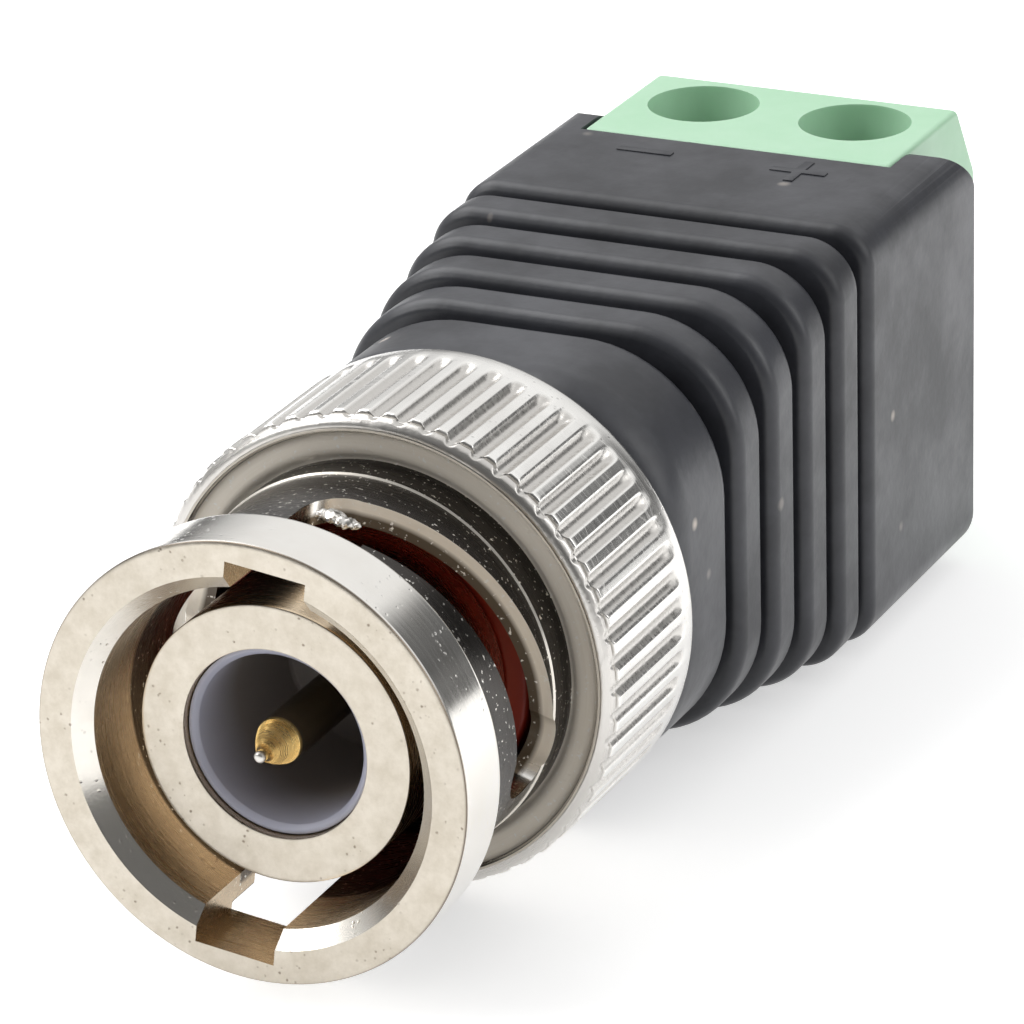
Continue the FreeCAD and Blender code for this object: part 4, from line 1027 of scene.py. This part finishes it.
def drawn_out(rings):
    """A closed shape drawn through rings of rounded squares."""
    bm = bmesh.new()
    first = square_ring(*rings[0])
    bmesh.ops.create_circle(bm, cap_ends=False, radius=1, segments=len(first))
    bm.verts.ensure_lookup_table()
    loop = sorted(bm.verts, key=lambda vert: vert.index)
    edges = list(bm.edges)
    for vert, place in zip(loop, first):
        vert.co = place
    caps = [list(loop)]
    for ring in rings[1:]:
        result = bmesh.ops.extrude_edge_only(bm, edges=edges)["geom"]
        edges = [item for item in result if isinstance(item, bmesh.types.BMEdge)
                 and not any(vert in loop for vert in item.verts)]
        following = []
        for vert in loop:
            for edge in vert.link_edges:
                other = edge.other_vert(vert)
                if any(other in joined.verts for joined in edges):
                    following.append(other)
                    break
        for vert, place in zip(following, square_ring(*ring)):
            vert.co = place
        loop = following
    caps.append(list(loop))
    for cap in caps:
        bm.faces.new(cap)
    bmesh.ops.recalc_face_normals(bm, faces=bm.faces)
    return bm


def tail_corner(side, radius):
    """Cutter that rounds the side walls' rear corner, at the top (1) or the bottom (-1)."""
    centre = (SHELL_REAR - radius, BOX_HALF - radius)
    arc = [(centre[0] + radius * math.cos(step * math.pi / 24),
            centre[1] + radius * math.sin(step * math.pi / 24)) for step in range(13)]
    outside = [(SHELL_REAR - radius, BOX_HALF + 1), (SHELL_REAR + 1, BOX_HALF + 1),
               (SHELL_REAR + 1, centre[1])]
    return slab(bmesh.new(), [(-8, y, side * z) for y, z in arc + outside], (16, 0, 0))


def make_housing():
    shell = drawn_out(housing_rings())
    bay = block((-5.13, BAY_FRONT, -5.4), (5.13, 36.0, 8.0))
    chamber = block((-4.85, 19.9, -5.3), (4.85, BAY_FRONT + 0.15, 5.4))
    bore = rod(3.83, (0, 11.0, 0), (0, 20.0, 0), segments=96)
    shell = carve(shell, bay, chamber, bore, tail_corner(1, TAIL_TOP), tail_corner(-1, TAIL_BOTTOM))
    return soften(shell, 0.08, degrees=50,
                  where=lambda edge: all(vert.co.y > BAY_FRONT - 0.05 for vert in edge.verts))


def make_polarity_marks():
    """A minus and a plus, moulded just proud of the top wall beside the two terminals."""
    bm = bmesh.new()
    minus = [(-0.9, -0.16), (0.9, -0.16), (0.9, 0.16), (-0.9, 0.16)]
    plus = [(0.16, 0.9), (-0.16, 0.9), (-0.16, 0.16), (-0.9, 0.16), (-0.9, -0.16), (-0.16, -0.16),
            (-0.16, -0.9), (0.16, -0.9), (0.16, -0.16), (0.9, -0.16), (0.9, 0.16), (0.16, 0.16)]
    for outline, x, y in ((minus, -2.4, 30.0), (plus, 2.7, 29.9)):
        slab(bm, [(x + right, y + back, BOX_HALF - 0.05) for right, back in outline], (0, 0, 0.09))
    return soften(bm, 0.025)


polarity_marks = finish_piece(make_polarity_marks(), "polarity_marks", "plug", black_shell)
housing = finish_piece(make_housing(), "ribbed_housing", "plug", black_shell,
                       replaced=("housing",))

# %% [markdown]
# The terminal block is a side view drawn across the two poles, with round wells for the
# screws and square wire entries at the rear. Every edge has the small rounding of a mould.
# %% Terminal block and screws
BLOCK_FRONT = 31.3
BLOCK_REAR = 38.5
WELL_STATION = 34.8
POLE = 2.54


def make_terminal_block():
    outline = [(BLOCK_FRONT, -5.35), (BLOCK_REAR, -5.35), (BLOCK_REAR, 4.3),
               (BLOCK_FRONT + 5.75, BOX_HALF), (BLOCK_FRONT, BOX_HALF)]
    bm = slab(bmesh.new(), [(-2 * POLE, y, z) for y, z in outline], (4 * POLE, 0, 0))
    soften(bm, 0.18, segments=3)
    cutters = []
    for side in (-POLE, POLE):
        well = rod(1.75, (side, WELL_STATION, 2.8), (side, WELL_STATION, 8.0), 96)
        cage_room = block((side - 2.1, WELL_STATION - 1.9, -6.0),
                          (side + 2.1, WELL_STATION + 1.9, 2.0))
        wire_entry = block((side - 1.5, WELL_STATION, -3.55), (side + 1.5, 40.0, -0.85))
        cutters += [well, cage_room, wire_entry]
    return carve(bm, *cutters)


def make_screw(side):
    """Slotted screw: a spun head and shank with a slot sawn across the head."""
    profile = [(0, -0.65), (1.05, -0.65), (1.25, -0.45), (1.25, 2.82), (1.55, 2.82), (1.55, 5.2),
               (1.35, 5.4), (0, 5.4)]
    bm = bmesh.new()
    corners = [bm.verts.new((radius, 0, height)) for radius, height in profile]
    edges = [bm.edges.new(pair) for pair in zip(corners, corners[1:])]
    bmesh.ops.spin(bm, geom=corners + edges, cent=(0, 0, 0), axis=(0, 0, 1), angle=FULL_TURN,
                   steps=64, use_merge=True)
    bmesh.ops.remove_doubles(bm, verts=bm.verts, dist=0.0005)
    bmesh.ops.recalc_face_normals(bm, faces=bm.faces)
    bm = carve(bm, block((-3, -0.25, 4.5), (3, 0.25, 6)))
    bmesh.ops.translate(bm, vec=(side, WELL_STATION, 0), verts=bm.verts)
    return bm


terminal = finish_piece(make_terminal_block(), "green_terminal", "plug", green_block,
                        replaced=("terminal_block",))
for side_name, side in (("left", -POLE), ("right", POLE)):
    finish_piece(make_screw(side), f"slotted_screw_{side_name}", f"screw_{side_name}", zinc_plate,
                 replaced=(f"clamp_screw_{side_name}",))

# %% [markdown]
# The remaining CAD nodes are right as they are and only take a finish.
# %% Finishes for the other nodes
NODE_FINISHES = {
    "thrust_washer": bright_steel, "retaining_ring": bright_steel,
    "ground_tag": tin_plate, "rear_insulator": white_liner, "signal_wire": tin_plate,
    "circuit_board": board_laminate, "chip_capacitor": ceramic_tan, "ferrite_ring": ferrite_dark,
    "line_winding": winding_copper, "video_winding": winding_copper, "wire_clamp_left": zinc_plate,
    "wire_clamp_right": zinc_plate, "contact_bar_left": tin_plate, "contact_bar_right": tin_plate,
}
for node_name, finish in NODE_FINISHES.items():
    for slot in nodes[node_name].material_slots:
        slot.material = finish
print("finished", len(NODE_FINISHES), "nodes")
